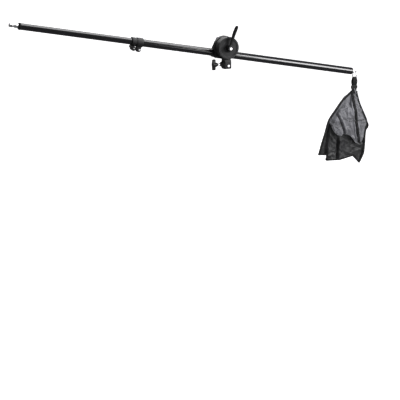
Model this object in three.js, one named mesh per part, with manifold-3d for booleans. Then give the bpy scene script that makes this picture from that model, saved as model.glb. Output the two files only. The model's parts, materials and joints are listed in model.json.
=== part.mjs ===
// Overhead boom arm: a tilting clamp head on a stand socket carries a two-stage tube,
// with a stud for a lamp at its front end and an empty counterweight bag at its rear end.
// Millimetres, +Z up. The origin is the centre of the socket's mouth, -X is the lamp end,
// +X the bag end and -Y the lever side.
import * as THREE from "three";
import { mergeVertices } from "three/addons/utils/BufferGeometryUtils.js";
import Module from "manifold-3d";

const wasm = await Module();
wasm.setup();

// Fits
const fitGap = 0.3; // between pieces that seat on or in each other
const overrun = 5; // how far a cut runs past the face it opens

// Pose and layout of the head
const boomTiltDegrees = 10.5; // bag end down
const pivotHeight = 88; // clamp bolt above the socket's mouth
const tubeDrop = 30.5; // tube line below the clamp bolt
const tubeSetback = 40; // tube line behind the socket's middle

// Boom tubes, placed along the tube line from the foot of the clamp bolt
const outerTubeRadius = 15;
const outerTubeWall = 1.5;
const outerTubeFront = -384.5;
const outerTubeRear = 653;
const innerTubeRadius = 13;
const innerTubeWall = 1.2;
const innerTubeFront = -872;
const innerTubeLength = 1000;

// Socket casting that sits on the stand
const receiverWidth = 34;
const receiverDepth = 32;
const receiverShift = 2;
const receiverNeckGap = 1; // below the pivot disc's rim
const receiverShoulderDrop = 13; // below the neck
const receiverNeckWidth = 28;
const receiverCorner = 6;
const receiverChamfer = 1.6;
const socketRadius = 8.2;
const socketDepth = 40;
const socketLeadIn = 1;

// Stack of discs on the clamp bolt
const pivotDiscRadius = 44;
const pivotDiscThickness = 24;
const clampDiscRadius = 46;
const discChamfer = 1.5;
const padRadius = 41;
const padThickness = 1.5;
const frontDiscThickness = 12.6;
const frontDiscRimWidth = 8;
const frontDiscHubRadius = 16;
const frontDiscRecess = 1.8;
const jawThickness = 17;
const jawHalfLength = 38;
const jawBelowTubeLine = 19.5;
const jawAboveTubeLine = 22;
const jawCorner = 5;
const grooveDegrees = 120;
const rearJawThickness = 15;
const rearJawHalfLength = 35;
const rearJawTopHalfLength = 22;
const rearJawTop = 34;
const rearJawCorner = 7;
const heelHeight = 14;
const heelHalfLength = 18;

// Clamp bolt and its bush
const boltRadius = 5;
const boltHeadRadius = 9.8;
const boltHeadHeight = 7;
const washerRadius = 11;
const washerThickness = 2;
const bushRadius = 8;
const jawSpringWireRadius = 0.8;
const jawSpringRadius = 7.6;
const jawSpringTurns = 4;

// Clamping lever
const leverInsertRadius = 8;
const leverInsertLength = 8.7;
const leverInsertEnd = 2.7;
const leverHubRadius = 14;
const leverHubFrontRadius = 12.4;
const leverHubLength = 21.4;
const leverWeb = 2.2;
const leverCounterbore = 6.5;
const leverReach = 93; // hub middle to tip, seen along the bolt
const leverSlantDegrees = 12.5; // off upright, towards the bag end
const leverOutset = 22; // how far the tip stands out from the hub's middle
const leverGripWidth = 12;
const leverGripThickness = 11;
const leverScrewRadius = 2.2;
const leverScrewHeadRadius = 5.4;
const leverScrewHeadHeight = 3;
const leverScrewHeadInset = 0.6;
const leverSpringWireRadius = 0.6;
const leverSpringRadius = 4.3;
const leverSpringTurns = 3;
const driveRadius = 2.4; // hexagon recess of the cap screws
const driveDepth = 1.6;

// Socket knob
const knobHeight = 19;
const bossRootRadius = 15;
const bossTipRadius = 8;
const bossReach = 26;
const knobScrewRadius = 4;
const knobNeck = 13; // bare screw between boss and knob
const knobHubLength = 10;
const knobHubRadius = 9.6;
const knobHubTipRadius = 6.6;
const knobWingSpan = 45;
const knobWingDepth = 14;
const knobWingThickness = 13;
const knobWingTipThickness = 7.5;
const knobBevel = 1.8;
const knobScrewEngagement = 16;
const setScrewRadius = 2.5;
const setScrewHeadRadius = 4.8;
const setScrewHeadHeight = 4.2;
const setScrewHeight = 13;
const setScrewShift = 3;

// Collar between the two tubes
const collarSleeveLength = 26;
const collarNeckLength = 6;
const collarRingLength = 16;
const collarSleeveRadius = 18.8;
const collarRingRadius = 17.6;
const collarNeckRadius = 16.4;
const collarChamfer = 1.2;
const collarSlit = 2.4;
const earHalfThickness = 7;
const sleeveEarRadius = 9.8;
const sleeveEarDrop = 29;
const ringEarRadius = 8;
const ringEarDrop = 26;
const collarScrewRadius = 2.6;
const collarScrewHeadRadius = 4.4;
const collarScrewHeadHeight = 3.2;
const collarNutRadius = 4.9;
const collarNutHeight = 4;
const thumbHubRadius = 9.4;
const thumbHubLength = 11;
const thumbReach = 22;
const thumbTipRadius = 3.4;
const thumbThickness = 6.5;
const thumbSlantDegrees = 23;

// Plugs, stud and eye at the tube ends
const rearPlugLength = 22;
const capFlangeThickness = 3;
const capChamfer = 1;
const guideFlangeThickness = 4;
const guideSpigotLength = 20;
const frontPlugFlangeRadius = 14;
const frontPlugFlangeLength = 4;
const frontPlugConeLength = 5;
const frontPlugNoseRadius = 9.6;
const frontPlugSpigotLength = 25;
const studRadius = 8;
const studLength = 35;
const studGrooveRadius = 6.4;
const studGrooveLength = 10;
const studGrooveFromTip = 12;
const studChamfer = 1.2;
const studTenonRadius = 4;
const studTenonLength = 22;
const eyeWireRadius = 2.2;
const eyeRadius = 7.2; // middle of the wire
const eyeShankRadius = 3;
const eyeShankLength = 18;
const eyeFlangeRadius = 5.5;
const eyeFlangeThickness = 2;

// Spring hook
const hookWireRadius = 2;
const hookTopRadius = 6; // middle of the wire
const hookBottomRadius = 10;
const hookCentreDistance = 18;
const gateWireRadius = 1.7;
const gateKnuckleRadius = 2.6;
const gateKnuckleReach = 2.6; // to either side of the hinge's middle
const gateTongueThickness = 1.4;
const gatePinRadius = 0.6;

// Counterweight bag, hung from the spring hook
const strapWidth = 24;
const strapBunchedWidth = 11;
const strapThickness = 1.6;
const strapSlack = 5.5; // half the distance between its two plies, at the widest
const strapDrop = 86; // eye to the neck of the bag
const strapTail = 34; // sewn in between the pouches
const sliderDrop = 63;
const sliderHeight = 13;
const sliderWall = 3;
const bagWidth = 240;
const bagDrop = 336; // neck to lowest corner
const pouchThickness = 17;
const pouchPuff = 5; // rounded over at the edges
const webbingThickness = 1.4;
const webbingLength = 225;
const zipLength = 96;
const zipWidth = 6;
const zipDrop = 137; // below the neck
const zipShift = 16; // from the neck to the middle of the zip
const zipPullLength = 16;
const zipPullWidth = 6;
const sideLoopReach = 17;
const sideLoopHeight = 44;
const sideLoopThickness = 4;
const sideLoopDrop = 163;
const stitchInset = 6;

// Facets round a circle, by how large it is
const discSides = 54;
const tubeSides = 24;
const smallSides = 16;
const wireSides = 8;
const springSides = 5;
const springStepsPerTurn = 8;
const hexSides = 6;
const arcSteps = 6; // facets along each arc of an outline

const radiansPerDegree = Math.PI / 180;
const half = 0.5;

// Solids from three.js geometry

function solidOf(geometry) {
  const bare = new THREE.BufferGeometry();
  bare.setAttribute("position", geometry.getAttribute("position"));
  if (geometry.index) bare.setIndex(geometry.index);
  const merged = mergeVertices(bare);
  const corners = Array.from(merged.index.array);
  const kept = [];
  for (let i = 0; i < corners.length; i += 3) {
    const [a, b, c] = corners.slice(i, i + 3);
    if (a !== b && b !== c && c !== a) kept.push(a, b, c);
  }
  const build = (triVerts) =>
    new wasm.Manifold(
      new wasm.Mesh({
        numProp: 3,
        vertProperties: new Float32Array(merged.attributes.position.array),
        triVerts: new Uint32Array(triVerts),
      }),
    );
  const made = build(kept);
  return made.volume() > 0 ? made : build(kept.reverse());
}

function geometryOf(solid) {
  const mesh = solid.getMesh();
  const geometry = new THREE.BufferGeometry();
  geometry.setAttribute("position", new THREE.BufferAttribute(mesh.vertProperties, mesh.numProp));
  geometry.setIndex(new THREE.BufferAttribute(mesh.triVerts, 1));
  const faceted = geometry.toNonIndexed();
  faceted.computeVertexNormals();
  return faceted;
}

const turnedOnto = {
  x: (geometry) => geometry.rotateZ(-Math.PI / 2),
  y: (geometry) => geometry,
  z: (geometry) => geometry.rotateX(Math.PI / 2),
};

// A body of revolution about a row axis, from [radius, place along the axis] pairs.
function lathed(axis, profile, sides) {
  const points = profile.map(([radius, along]) => new THREE.Vector2(radius, along));
  return solidOf(turnedOnto[axis](new THREE.LatheGeometry(points, sides)));
}

// A plain rod between two places on the axis.
function rod(axis, radius, from, to, sides = smallSides) {
  return lathed(axis, [[0, from], [radius, from], [radius, to], [0, to]], sides);
}

// A ring or sleeve between two places on the axis.
function ring(axis, outer, inner, from, to, sides = smallSides) {
  const profile = [[inner, from], [outer, from], [outer, to], [inner, to], [inner, from]];
  return lathed(axis, profile, sides);
}

const planes = {
  xy: [[1, 0, 0], [0, 1, 0], [0, 0, 1]],
  xz: [[1, 0, 0], [0, 0, 1], [0, -1, 0]],
  yz: [[0, 1, 0], [0, 0, 1], [1, 0, 0]],
};

// An outline in a plane, given thickness between two places across that plane.
function slab(plane, outline, from, to, bevel = 0) {
  const [a, b, c] = planes[plane].map((v) => new THREE.Vector3(...v));
  const start = plane === "xz" ? -to : from;
  const options = { depth: to - from - 2 * bevel, bevelEnabled: bevel > 0, curveSegments: arcSteps };
  if (bevel > 0) {
    Object.assign(options, { bevelThickness: bevel, bevelSize: bevel, bevelOffset: -bevel });
    options.bevelSegments = 2;
  }
  const geometry = new THREE.ExtrudeGeometry(outline, options);
  geometry.translate(0, 0, start + bevel);
  geometry.applyMatrix4(new THREE.Matrix4().makeBasis(a, b, c));
  return solidOf(geometry);
}

function outlineOf(points) {
  return new THREE.Shape(points.map(([x, y]) => new THREE.Vector2(x, y)));
}

function roundedRectangle(width, height, corner, cx = 0, cy = 0) {
  const x = width * half - corner;
  const y = height * half - corner;
  const shape = new THREE.Shape();
  shape.absarc(cx + x, cy - y, corner, -Math.PI / 2, 0);
  shape.absarc(cx + x, cy + y, corner, 0, Math.PI / 2);
  shape.absarc(cx - x, cy + y, corner, Math.PI / 2, Math.PI);
  shape.absarc(cx - x, cy - y, corner, Math.PI, 1.5 * Math.PI);
  return shape;
}

// A closed skin through rings of points that match one to one.
function lofted(rings) {
  const count = rings[0].length;
  const places = rings.flat();
  const faces = [];
  for (let r = 0; r + 1 < rings.length; r += 1) {
    for (let i = 0; i < count; i += 1) {
      const a = r * count + i;
      const b = r * count + ((i + 1) % count);
      faces.push(a, b, b + count, a, b + count, a + count);
    }
  }
  const last = (rings.length - 1) * count;
  for (let i = 1; i + 1 < count; i += 1) {
    faces.push(0, i + 1, i, last, last + i, last + i + 1);
  }
  const geometry = new THREE.BufferGeometry().setFromPoints(places);
  geometry.setIndex(faces);
  return solidOf(geometry);
}

// A round wire along a curve.
function wire(curve, radius, steps, sides = wireSides) {
  const section = new THREE.Shape();
  section.absarc(0, 0, radius, 0, 2 * Math.PI);
  const points = section.getSpacedPoints(sides).slice(0, sides);
  const options = { steps, extrudePath: curve, bevelEnabled: false };
  return solidOf(new THREE.ExtrudeGeometry(new THREE.Shape(points), options));
}

class Helix extends THREE.Curve {
  constructor(radius, from, to, turns) {
    super();
    Object.assign(this, { radius, from, to, turns });
  }
  getPoint(t, target = new THREE.Vector3()) {
    const angle = 2 * Math.PI * this.turns * t;
    const along = this.from + (this.to - this.from) * t;
    return target.set(this.radius * Math.sin(angle), along, this.radius * Math.cos(angle));
  }
}

// A coil spring on a Y axis, and the least gap between its turns.
function coilSpring(name, radius, wireRadius, from, to, turns) {
  const steps = turns * springStepsPerTurn;
  const coil = new Helix(radius, from, to, turns);
  const points = coil.getPoints(steps);
  let least = Infinity;
  points.forEach((p, i) => {
    for (let j = i + Math.ceil(springStepsPerTurn * half); j < points.length; j += 1) {
      least = Math.min(least, p.distanceTo(points[j]) - 2 * wireRadius);
    }
  });
  console.log(name + ": least gap between turns " + least.toFixed(2) + " mm");
  return wire(coil, wireRadius, steps, springSides);
}

// Finishes
const finishes = {
  castBlack: { color: 0x1c1b1d, roughness: 0.55, metalness: 0.3 },
  tubeBlack: { color: 0x0b0b0d, roughness: 0.18, metalness: 0.2 },
  plasticBlack: { color: 0x151416, roughness: 0.5, metalness: 0 },
  padBlack: { color: 0x222222, roughness: 0.9, metalness: 0 },
  chrome: { color: 0xd9dadc, roughness: 0.15, metalness: 1 },
  bronze: { color: 0xa8824a, roughness: 0.4, metalness: 0.9 },
  nylonCloth: { color: 0x2f2e33, roughness: 0.85, metalness: 0 },
  nylonClothDark: { color: 0x1b1a1f, roughness: 0.85, metalness: 0 },
  webbing: { color: 0x17161a, roughness: 0.9, metalness: 0 },
};

function place(group, name, solid, finish) {
  const mesh = new THREE.Mesh(geometryOf(solid), new THREE.MeshStandardMaterial(finishes[finish]));
  mesh.name = name;
  group.add(mesh);
}

// Places of the stack along the bolt, front to rear
const pivotDiscHalf = pivotDiscThickness * half;
const padFront = pivotDiscHalf + fitGap;
const padRear = padFront + padThickness;
const discBack = padRear + fitGap; // inner face of the front disc and of the middle jaw
const frontDiscFace = -(discBack + frontDiscThickness);
const jawFace = discBack + jawThickness;
const grooveHalfAngle = grooveDegrees * half * radiansPerDegree;
const grooveReach = (outerTubeRadius + fitGap) / Math.sin(grooveHalfAngle);
const rearJawFace = tubeSetback + (tubeSetback - jawFace);
const rearJawBack = rearJawFace + rearJawThickness;
const washerFace = rearJawBack + fitGap;
const boltHeadFace = washerFace + washerThickness + fitGap;
const leverInsertBack = frontDiscFace - fitGap;
const leverInsertFront = leverInsertBack - leverInsertLength;
const boltFront = leverInsertFront + leverInsertEnd + fitGap;
const leverHubBack = frontDiscFace - 2 * fitGap;
const leverHubFront = leverHubBack - leverHubLength;
const boltHole = boltRadius + fitGap;

// Socket casting with its bush and screws, on the stand
const receiverNeckHeight = pivotHeight - pivotDiscRadius - receiverNeckGap;
const receiverShoulderHeight = receiverNeckHeight - receiverShoulderDrop;

function receiver() {
  const left = receiverShift - receiverWidth * half;
  const right = receiverShift + receiverWidth * half;
  const neck = receiverNeckWidth * half;
  const side = receiverDepth * half;
  const back = padRear; // flat, so that the jaws swing past it
  const c = receiverChamfer;
  const column = slab(
    "xy",
    roundedRectangle(receiverWidth, receiverDepth, receiverCorner, receiverShift),
    0,
    pivotHeight,
  );
  const seenFromSide = slab(
    "xz",
    outlineOf([
      [left + c, 0],
      [right - c, 0],
      [right, c],
      [right, receiverShoulderHeight],
      [neck, receiverNeckHeight],
      [neck, pivotHeight],
      [-neck, pivotHeight],
      [-neck, receiverNeckHeight],
      [left, receiverShoulderHeight],
      [left, c],
    ]),
    -receiverDepth,
    receiverDepth,
  );
  const seenAlongBoom = slab(
    "yz",
    outlineOf([
      [c - side, 0],
      [back - c, 0],
      [back, c],
      [back, receiverNeckHeight - receiverChamfer],
      [pivotDiscHalf, receiverNeckHeight],
      [pivotDiscHalf, pivotHeight],
      [-pivotDiscHalf, pivotHeight],
      [-pivotDiscHalf, receiverNeckHeight],
      [-side, receiverShoulderHeight],
      [-side, c],
    ]),
    -receiverWidth,
    receiverWidth,
  );
  const disc = lathed(
    "y",
    [
      [0, -pivotDiscHalf],
      [pivotDiscRadius - discChamfer, -pivotDiscHalf],
      [pivotDiscRadius, discChamfer - pivotDiscHalf],
      [pivotDiscRadius, pivotDiscHalf - discChamfer],
      [pivotDiscRadius - discChamfer, pivotDiscHalf],
      [0, pivotDiscHalf],
    ],
    discSides,
  ).translate([0, 0, pivotHeight]);
  const boss = lathed(
    "x",
    [
      [0, 0],
      [bossRootRadius, 0],
      [bossRootRadius, left],
      [bossTipRadius, -bossReach],
      [0, -bossReach],
    ],
    tubeSides,
  ).translate([0, 0, knobHeight]);
  const socket = lathed(
    "z",
    [
      [0, -overrun],
      [socketRadius + socketLeadIn + overrun, -overrun],
      [socketRadius, socketLeadIn],
      [socketRadius, socketDepth],
      [0, socketDepth],
    ],
    tubeSides,
  );
  const knobHole = rod("x", knobScrewRadius + fitGap, -bossReach - overrun, 0);
  const setHole = rod("y", setScrewRadius + fitGap, -side - overrun, 0);
  const boltHoleRod = rod("y", bushRadius + fitGap, -receiverDepth, receiverDepth, tubeSides);
  return column
    .intersect(seenFromSide)
    .intersect(seenAlongBoom)
    .add(disc)
    .add(boss)
    .subtract(socket)
    .subtract(knobHole.translate([0, 0, knobHeight]))
    .subtract(setHole.translate([setScrewShift, 0, setScrewHeight]))
    .subtract(boltHoleRod.translate([0, 0, pivotHeight]));
}

// A cap screw on a Y axis: its head's outer face looks towards -Y at headFace.
function capScrew(headFace, headHeight, headRadius, shankRadius, shankEnd) {
  const drive = rod("y", driveRadius, headFace - overrun, headFace + driveDepth, hexSides);
  return rod("y", headRadius, headFace, headFace + headHeight)
    .add(rod("y", shankRadius, headFace + headHeight * half, shankEnd))
    .subtract(drive);
}

function setScrew() {
  const face = -receiverDepth * half - fitGap - setScrewHeadHeight;
  return capScrew(
    face,
    setScrewHeadHeight,
    setScrewHeadRadius,
    setScrewRadius,
    -socketRadius - fitGap,
  ).translate([setScrewShift, 0, setScrewHeight]);
}

// Wing knob on its screw, left of the socket
const knobNose = -bossReach - knobNeck;
const knobWingFace = knobNose - knobHubLength;
const knobEnd = knobWingFace - knobWingDepth;

function socketKnob() {
  const hub = lathed(
    "x",
    [
      [0, knobNose],
      [knobHubTipRadius, knobNose],
      [knobHubRadius, knobWingFace],
      [knobHubRadius, knobEnd + knobBevel],
      [knobHubRadius - knobBevel, knobEnd],
      [0, knobEnd],
    ],
    tubeSides,
  );
  const tip = knobWingTipThickness * half;
  const middle = knobWingThickness * half;
  const span = knobWingSpan * half;
  const wing = outlineOf([
    [middle, 0],
    [tip, span - tip],
    [tip * half, span],
    [-tip * half, span],
    [-tip, span - tip],
    [-middle, 0],
    [-tip, tip - span],
    [-tip * half, -span],
    [tip * half, -span],
    [tip, tip - span],
  ]);
  const socketForScrew = rod(
    "x",
    knobScrewRadius + fitGap,
    knobNose - knobScrewEngagement - fitGap,
    knobNose + overrun,
  );
  return hub
    .add(slab("yz", wing, knobEnd, knobWingFace, knobBevel))
    .subtract(socketForScrew)
    .translate([0, 0, knobHeight]);
}

function socketKnobScrew() {
  const from = knobNose - knobScrewEngagement;
  const to = -socketRadius - fitGap;
  return rod("x", knobScrewRadius, from, to).translate([0, 0, knobHeight]);
}

// Clamping discs and jaws, seen in the boom's own frame with the clamp bolt at its origin

function frontDisc() {
  const floor = frontDiscFace + frontDiscRecess;
  const rim = clampDiscRadius - frontDiscRimWidth;
  return lathed(
    "y",
    [
      [boltHole, -discBack],
      [clampDiscRadius - discChamfer, -discBack],
      [clampDiscRadius, -discBack - discChamfer],
      [clampDiscRadius, frontDiscFace + discChamfer],
      [clampDiscRadius - discChamfer, frontDiscFace],
      [rim, frontDiscFace],
      [rim - frontDiscRecess, floor],
      [frontDiscHubRadius + frontDiscRecess, floor],
      [frontDiscHubRadius, frontDiscFace],
      [boltHole, frontDiscFace],
      [boltHole, -discBack],
    ],
    discSides,
  );
}

// The groove that holds the tube, cut towards +Y (direction 1) or towards -Y (direction -1).
function grooveCut(direction) {
  const apex = tubeSetback - direction * grooveReach;
  const mouth = tubeSetback;
  const rise = grooveReach * Math.tan(grooveHalfAngle);
  const wedge = [[apex, -tubeDrop], [mouth, rise - tubeDrop], [mouth, -rise - tubeDrop]];
  const reach = clampDiscRadius + overrun;
  return slab("yz", outlineOf(wedge), -reach, reach);
}

function middleJaw() {
  const disc = lathed(
    "y",
    [
      [0, discBack],
      [clampDiscRadius - discChamfer, discBack],
      [clampDiscRadius, discBack + discChamfer],
      [clampDiscRadius, jawFace - discChamfer],
      [clampDiscRadius - discChamfer, jawFace],
      [0, jawFace],
    ],
    discSides,
  );
  const height = jawBelowTubeLine + jawAboveTubeLine;
  const middle = -tubeDrop + jawAboveTubeLine - height * half;
  const block = roundedRectangle(2 * jawHalfLength, height, jawCorner, 0, middle);
  return disc
    .add(slab("xz", block, discBack, jawFace, discChamfer))
    .subtract(grooveCut(1))
    .subtract(rod("y", boltHole, 0, tubeSetback));
}

function rearJaw() {
  const bottom = -tubeDrop - jawBelowTubeLine;
  const waist = -tubeDrop + jawAboveTubeLine;
  const corner = rearJawCorner;
  const wide = rearJawHalfLength - corner;
  const narrow = rearJawTopHalfLength - corner;
  const outline = new THREE.Shape();
  outline.absarc(wide, bottom + corner, corner, -Math.PI / 2, 0);
  outline.lineTo(rearJawHalfLength, waist - corner);
  outline.absarc(narrow, rearJawTop - corner, corner, Math.PI / 4, Math.PI / 2);
  outline.absarc(-narrow, rearJawTop - corner, corner, Math.PI / 2, (3 * Math.PI) / 4);
  outline.lineTo(-rearJawHalfLength, waist - corner);
  outline.absarc(-wide, bottom + corner, corner, Math.PI, 1.5 * Math.PI);
  const heel = roundedRectangle(
    2 * heelHalfLength,
    heelHeight,
    discChamfer,
    0,
    rearJawTop - heelHeight * half,
  );
  return slab("xz", outline, rearJawFace, rearJawBack, discChamfer)
    .add(slab("xz", heel, jawFace + fitGap, rearJawFace + discChamfer + overrun))
    .subtract(grooveCut(-1))
    .subtract(rod("y", boltHole, tubeSetback, rearJawBack + overrun));
}

function clampPad(from) {
  return ring("y", padRadius, bushRadius, from, from + padThickness, discSides);
}

function boltWasher() {
  return ring("y", washerRadius, boltHole, washerFace, washerFace + washerThickness);
}

function jawSpring() {
  const seat = fitGap + jawSpringWireRadius;
  const from = jawFace + seat;
  const to = rearJawFace - seat;
  return coilSpring("jaw_spring", jawSpringRadius, jawSpringWireRadius, from, to, jawSpringTurns);
}

function clampBolt() {
  const head = rod("y", boltHeadRadius, boltHeadFace, boltHeadFace + boltHeadHeight, hexSides);
  return head.add(rod("y", boltRadius, boltFront, boltHeadFace + boltHeadHeight * half));
}

// Clamping lever with its threaded insert, screw and return spring
const leverWebBack = leverInsertFront - fitGap;
const leverWebFront = leverWebBack - leverWeb;
const leverScrewHeadFace = leverHubFront + leverScrewHeadInset;
const leverScrewHeadBack = leverScrewHeadFace + leverScrewHeadHeight;

function leverInsert() {
  const wall = leverInsertFront + leverInsertEnd;
  const screwHole = leverScrewRadius + fitGap;
  return lathed(
    "y",
    [
      [screwHole, leverInsertFront],
      [screwHole, wall],
      [boltHole, wall],
      [boltHole, leverInsertBack],
      [leverInsertRadius, leverInsertBack],
      [leverInsertRadius, leverInsertFront],
      [screwHole, leverInsertFront],
    ],
    smallSides,
  );
}

function leverHandle() {
  const hub = lathed(
    "y",
    [
      [0, leverHubBack],
      [leverHubRadius, leverHubBack],
      [leverHubRadius, leverHubBack - leverHubLength * half],
      [leverHubFrontRadius, leverHubFront],
      [0, leverHubFront],
    ],
    tubeSides,
  );
  // Shares of the reach, width and thickness: a waist near the hub, a full grip, a round tip
  const armShares = [
    [0, 0.9, 0.8],
    [0.16, 0.86, 0.8],
    [0.3, 0.78, 0.74],
    [0.5, 0.92, 0.9],
    [0.72, 1, 1],
    [0.9, 0.98, 0.96],
    [0.965, 0.8, 0.78],
    [1, 0.4, 0.4],
  ];
  const middle = leverHubBack - leverHubLength * half;
  const slant = (leverSlantDegrees - boomTiltDegrees) * radiansPerDegree;
  const sideways = Math.sin(slant);
  const upwards = Math.cos(slant);
  const rings = armShares.map(([along, widthShare, thicknessShare]) => {
    const reach = along * leverReach;
    const out = middle - along * along * leverOutset;
    const points = [];
    for (let i = 0; i < smallSides; i += 1) {
      const angle = (2 * Math.PI * i) / smallSides;
      const across = Math.cos(angle) * widthShare * leverGripWidth * half;
      const outward = Math.sin(angle) * thicknessShare * leverGripThickness * half;
      const x = reach * sideways + across * upwards;
      const z = reach * upwards - across * sideways;
      points.push(new THREE.Vector3(x, out + outward, z));
    }
    return points;
  });
  return hub
    .add(lofted(rings))
    .subtract(rod("y", leverInsertRadius + fitGap, leverWebBack, leverHubBack + overrun))
    .subtract(rod("y", leverScrewRadius + 2 * fitGap, leverHubFront - overrun, 0))
    .subtract(rod("y", leverCounterbore, leverHubFront - overrun, leverWebFront));
}

function leverScrew() {
  const end = leverInsertFront + leverInsertEnd - 2 * fitGap;
  return capScrew(
    leverScrewHeadFace,
    leverScrewHeadHeight,
    leverScrewHeadRadius,
    leverScrewRadius,
    end,
  );
}

function leverSpring() {
  const seat = fitGap + leverSpringWireRadius;
  const from = leverScrewHeadBack + seat;
  const to = leverWebFront - seat;
  return coilSpring("lever_spring", leverSpringRadius, leverSpringWireRadius, from, to, leverSpringTurns);
}

// Collar: a sleeve clamped on the outer tube and a slit ring that grips the inner one
const collarSleeveFront = outerTubeFront - fitGap;
const collarSleeveRear = collarSleeveFront + collarSleeveLength;
const collarRingRear = collarSleeveFront - collarNeckLength;
const collarRingFront = collarRingRear - collarRingLength;
const sleeveEarPlace = collarSleeveFront + collarSleeveLength * half;
const ringEarPlace = collarRingRear - collarRingLength * half;
const tubeClearance = outerTubeRadius - outerTubeWall - innerTubeRadius;

// Two ears below a ring, with a round end, as one plate before the slit is cut.
function earPlate(placeAlong, radius, drop) {
  const shape = new THREE.Shape();
  shape.absarc(placeAlong, -drop, radius, Math.PI, 2 * Math.PI);
  shape.lineTo(placeAlong + radius, -innerTubeRadius);
  shape.lineTo(placeAlong - radius, -innerTubeRadius);
  return slab("xz", shape, -earHalfThickness, earHalfThickness, collarChamfer);
}

function collarBody() {
  const c = collarChamfer;
  const innerBore = innerTubeRadius + tubeClearance * half;
  const outerBore = outerTubeRadius + fitGap;
  const tube = lathed(
    "x",
    [
      [innerBore, collarRingFront],
      [collarRingRadius - c, collarRingFront],
      [collarRingRadius, collarRingFront + c],
      [collarRingRadius, collarRingRear - c],
      [collarNeckRadius, collarRingRear],
      [collarNeckRadius, collarSleeveFront - c],
      [collarSleeveRadius, collarSleeveFront],
      [collarSleeveRadius, collarSleeveRear - c],
      [collarSleeveRadius - c, collarSleeveRear],
      [outerBore, collarSleeveRear],
      [outerBore, collarSleeveFront],
      [innerBore, collarSleeveFront],
      [innerBore, collarRingFront],
    ],
    tubeSides,
  );
  const ringBore = rod("x", innerBore, collarRingFront - overrun, collarSleeveFront + overrun, tubeSides);
  const sleeveBore = rod("x", outerBore, collarSleeveFront, collarSleeveRear + overrun, tubeSides);
  const depth = sleeveEarDrop + sleeveEarRadius + overrun;
  const slit = slab(
    "xz",
    outlineOf([
      [collarRingFront - overrun, -depth],
      [collarSleeveRear + overrun, -depth],
      [collarSleeveRear + overrun, 0],
      [collarRingFront - overrun, 0],
    ]),
    -collarSlit * half,
    collarSlit * half,
  );
  const underNeck = slab(
    "xz",
    outlineOf([
      [collarRingRear + c, -depth],
      [collarSleeveFront - c, -depth],
      [collarSleeveFront - c, -innerTubeRadius * half],
      [collarRingRear + c, -innerTubeRadius * half],
    ]),
    -depth,
    depth,
  );
  const screwHole = rod("y", collarScrewRadius + fitGap, -depth, depth);
  return tube
    .add(earPlate(sleeveEarPlace, sleeveEarRadius, sleeveEarDrop))
    .add(earPlate(ringEarPlace, ringEarRadius, ringEarDrop))
    .subtract(ringBore)
    .subtract(sleeveBore)
    .subtract(slit)
    .subtract(underNeck)
    .subtract(screwHole.translate([sleeveEarPlace, 0, -sleeveEarDrop]))
    .subtract(screwHole.translate([ringEarPlace, 0, -ringEarDrop]));
}

const earFace = earHalfThickness + fitGap;
const nutBack = earFace + collarNutHeight;

function sleeveScrew() {
  const face = -earFace - collarScrewHeadHeight;
  return capScrew(
    face,
    collarScrewHeadHeight,
    collarScrewHeadRadius,
    collarScrewRadius,
    nutBack + fitGap,
  ).translate([sleeveEarPlace, 0, -sleeveEarDrop]);
}

function collarNut(placeAlong, drop) {
  const nut = rod("y", collarNutRadius, earFace, nutBack, hexSides);
  const hole = rod("y", collarScrewRadius + fitGap, 0, nutBack + overrun);
  return nut.subtract(hole).translate([placeAlong, 0, -drop]);
}

const thumbBack = -earFace;
const thumbFront = thumbBack - thumbHubLength;

function thumbLever() {
  const hub = lathed(
    "y",
    [
      [0, thumbBack],
      [thumbHubRadius - collarChamfer, thumbBack],
      [thumbHubRadius, thumbBack - collarChamfer],
      [thumbHubRadius, thumbFront + 2 * collarChamfer],
      [thumbHubRadius - 2 * collarChamfer, thumbFront],
      [0, thumbFront],
    ],
    smallSides,
  );
  const blade = new THREE.Shape();
  blade.absarc(thumbTipRadius - thumbReach, 0, thumbTipRadius, Math.PI / 2, 1.5 * Math.PI);
  blade.lineTo(0, -thumbHubRadius * half);
  blade.lineTo(0, thumbHubRadius * half);
  const bladeFront = thumbFront + collarChamfer;
  const arm = slab("xz", blade, bladeFront, bladeFront + thumbThickness, collarChamfer);
  return hub
    .add(arm.rotate([0, thumbSlantDegrees, 0]))
    .subtract(rod("y", collarScrewRadius + fitGap, thumbFront - overrun, thumbBack + overrun))
    .translate([ringEarPlace, 0, -ringEarDrop]);
}

function thumbScrew() {
  const screw = rod("y", collarScrewRadius, thumbFront - fitGap, nutBack + fitGap);
  return screw.translate([ringEarPlace, 0, -ringEarDrop]);
}

// Tubes with their plugs, the stud and the eye, along X on the tube line
const outerBoreRadius = outerTubeRadius - outerTubeWall;
const innerBoreRadius = innerTubeRadius - innerTubeWall;
const innerTubeRear = innerTubeFront + innerTubeLength;

function outerTube() {
  return ring("x", outerTubeRadius, outerBoreRadius, outerTubeFront, outerTubeRear, tubeSides);
}

function innerTube() {
  return ring("x", innerTubeRadius, innerBoreRadius, innerTubeFront, innerTubeRear, tubeSides);
}

function guidePlug() {
  const spigot = innerBoreRadius - fitGap;
  const flange = outerBoreRadius - fitGap;
  const seat = innerTubeRear + fitGap;
  return lathed(
    "x",
    [
      [0, innerTubeRear - guideSpigotLength],
      [spigot, innerTubeRear - guideSpigotLength],
      [spigot, seat],
      [flange, seat],
      [flange, seat + guideFlangeThickness],
      [0, seat + guideFlangeThickness],
    ],
    tubeSides,
  );
}

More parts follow.
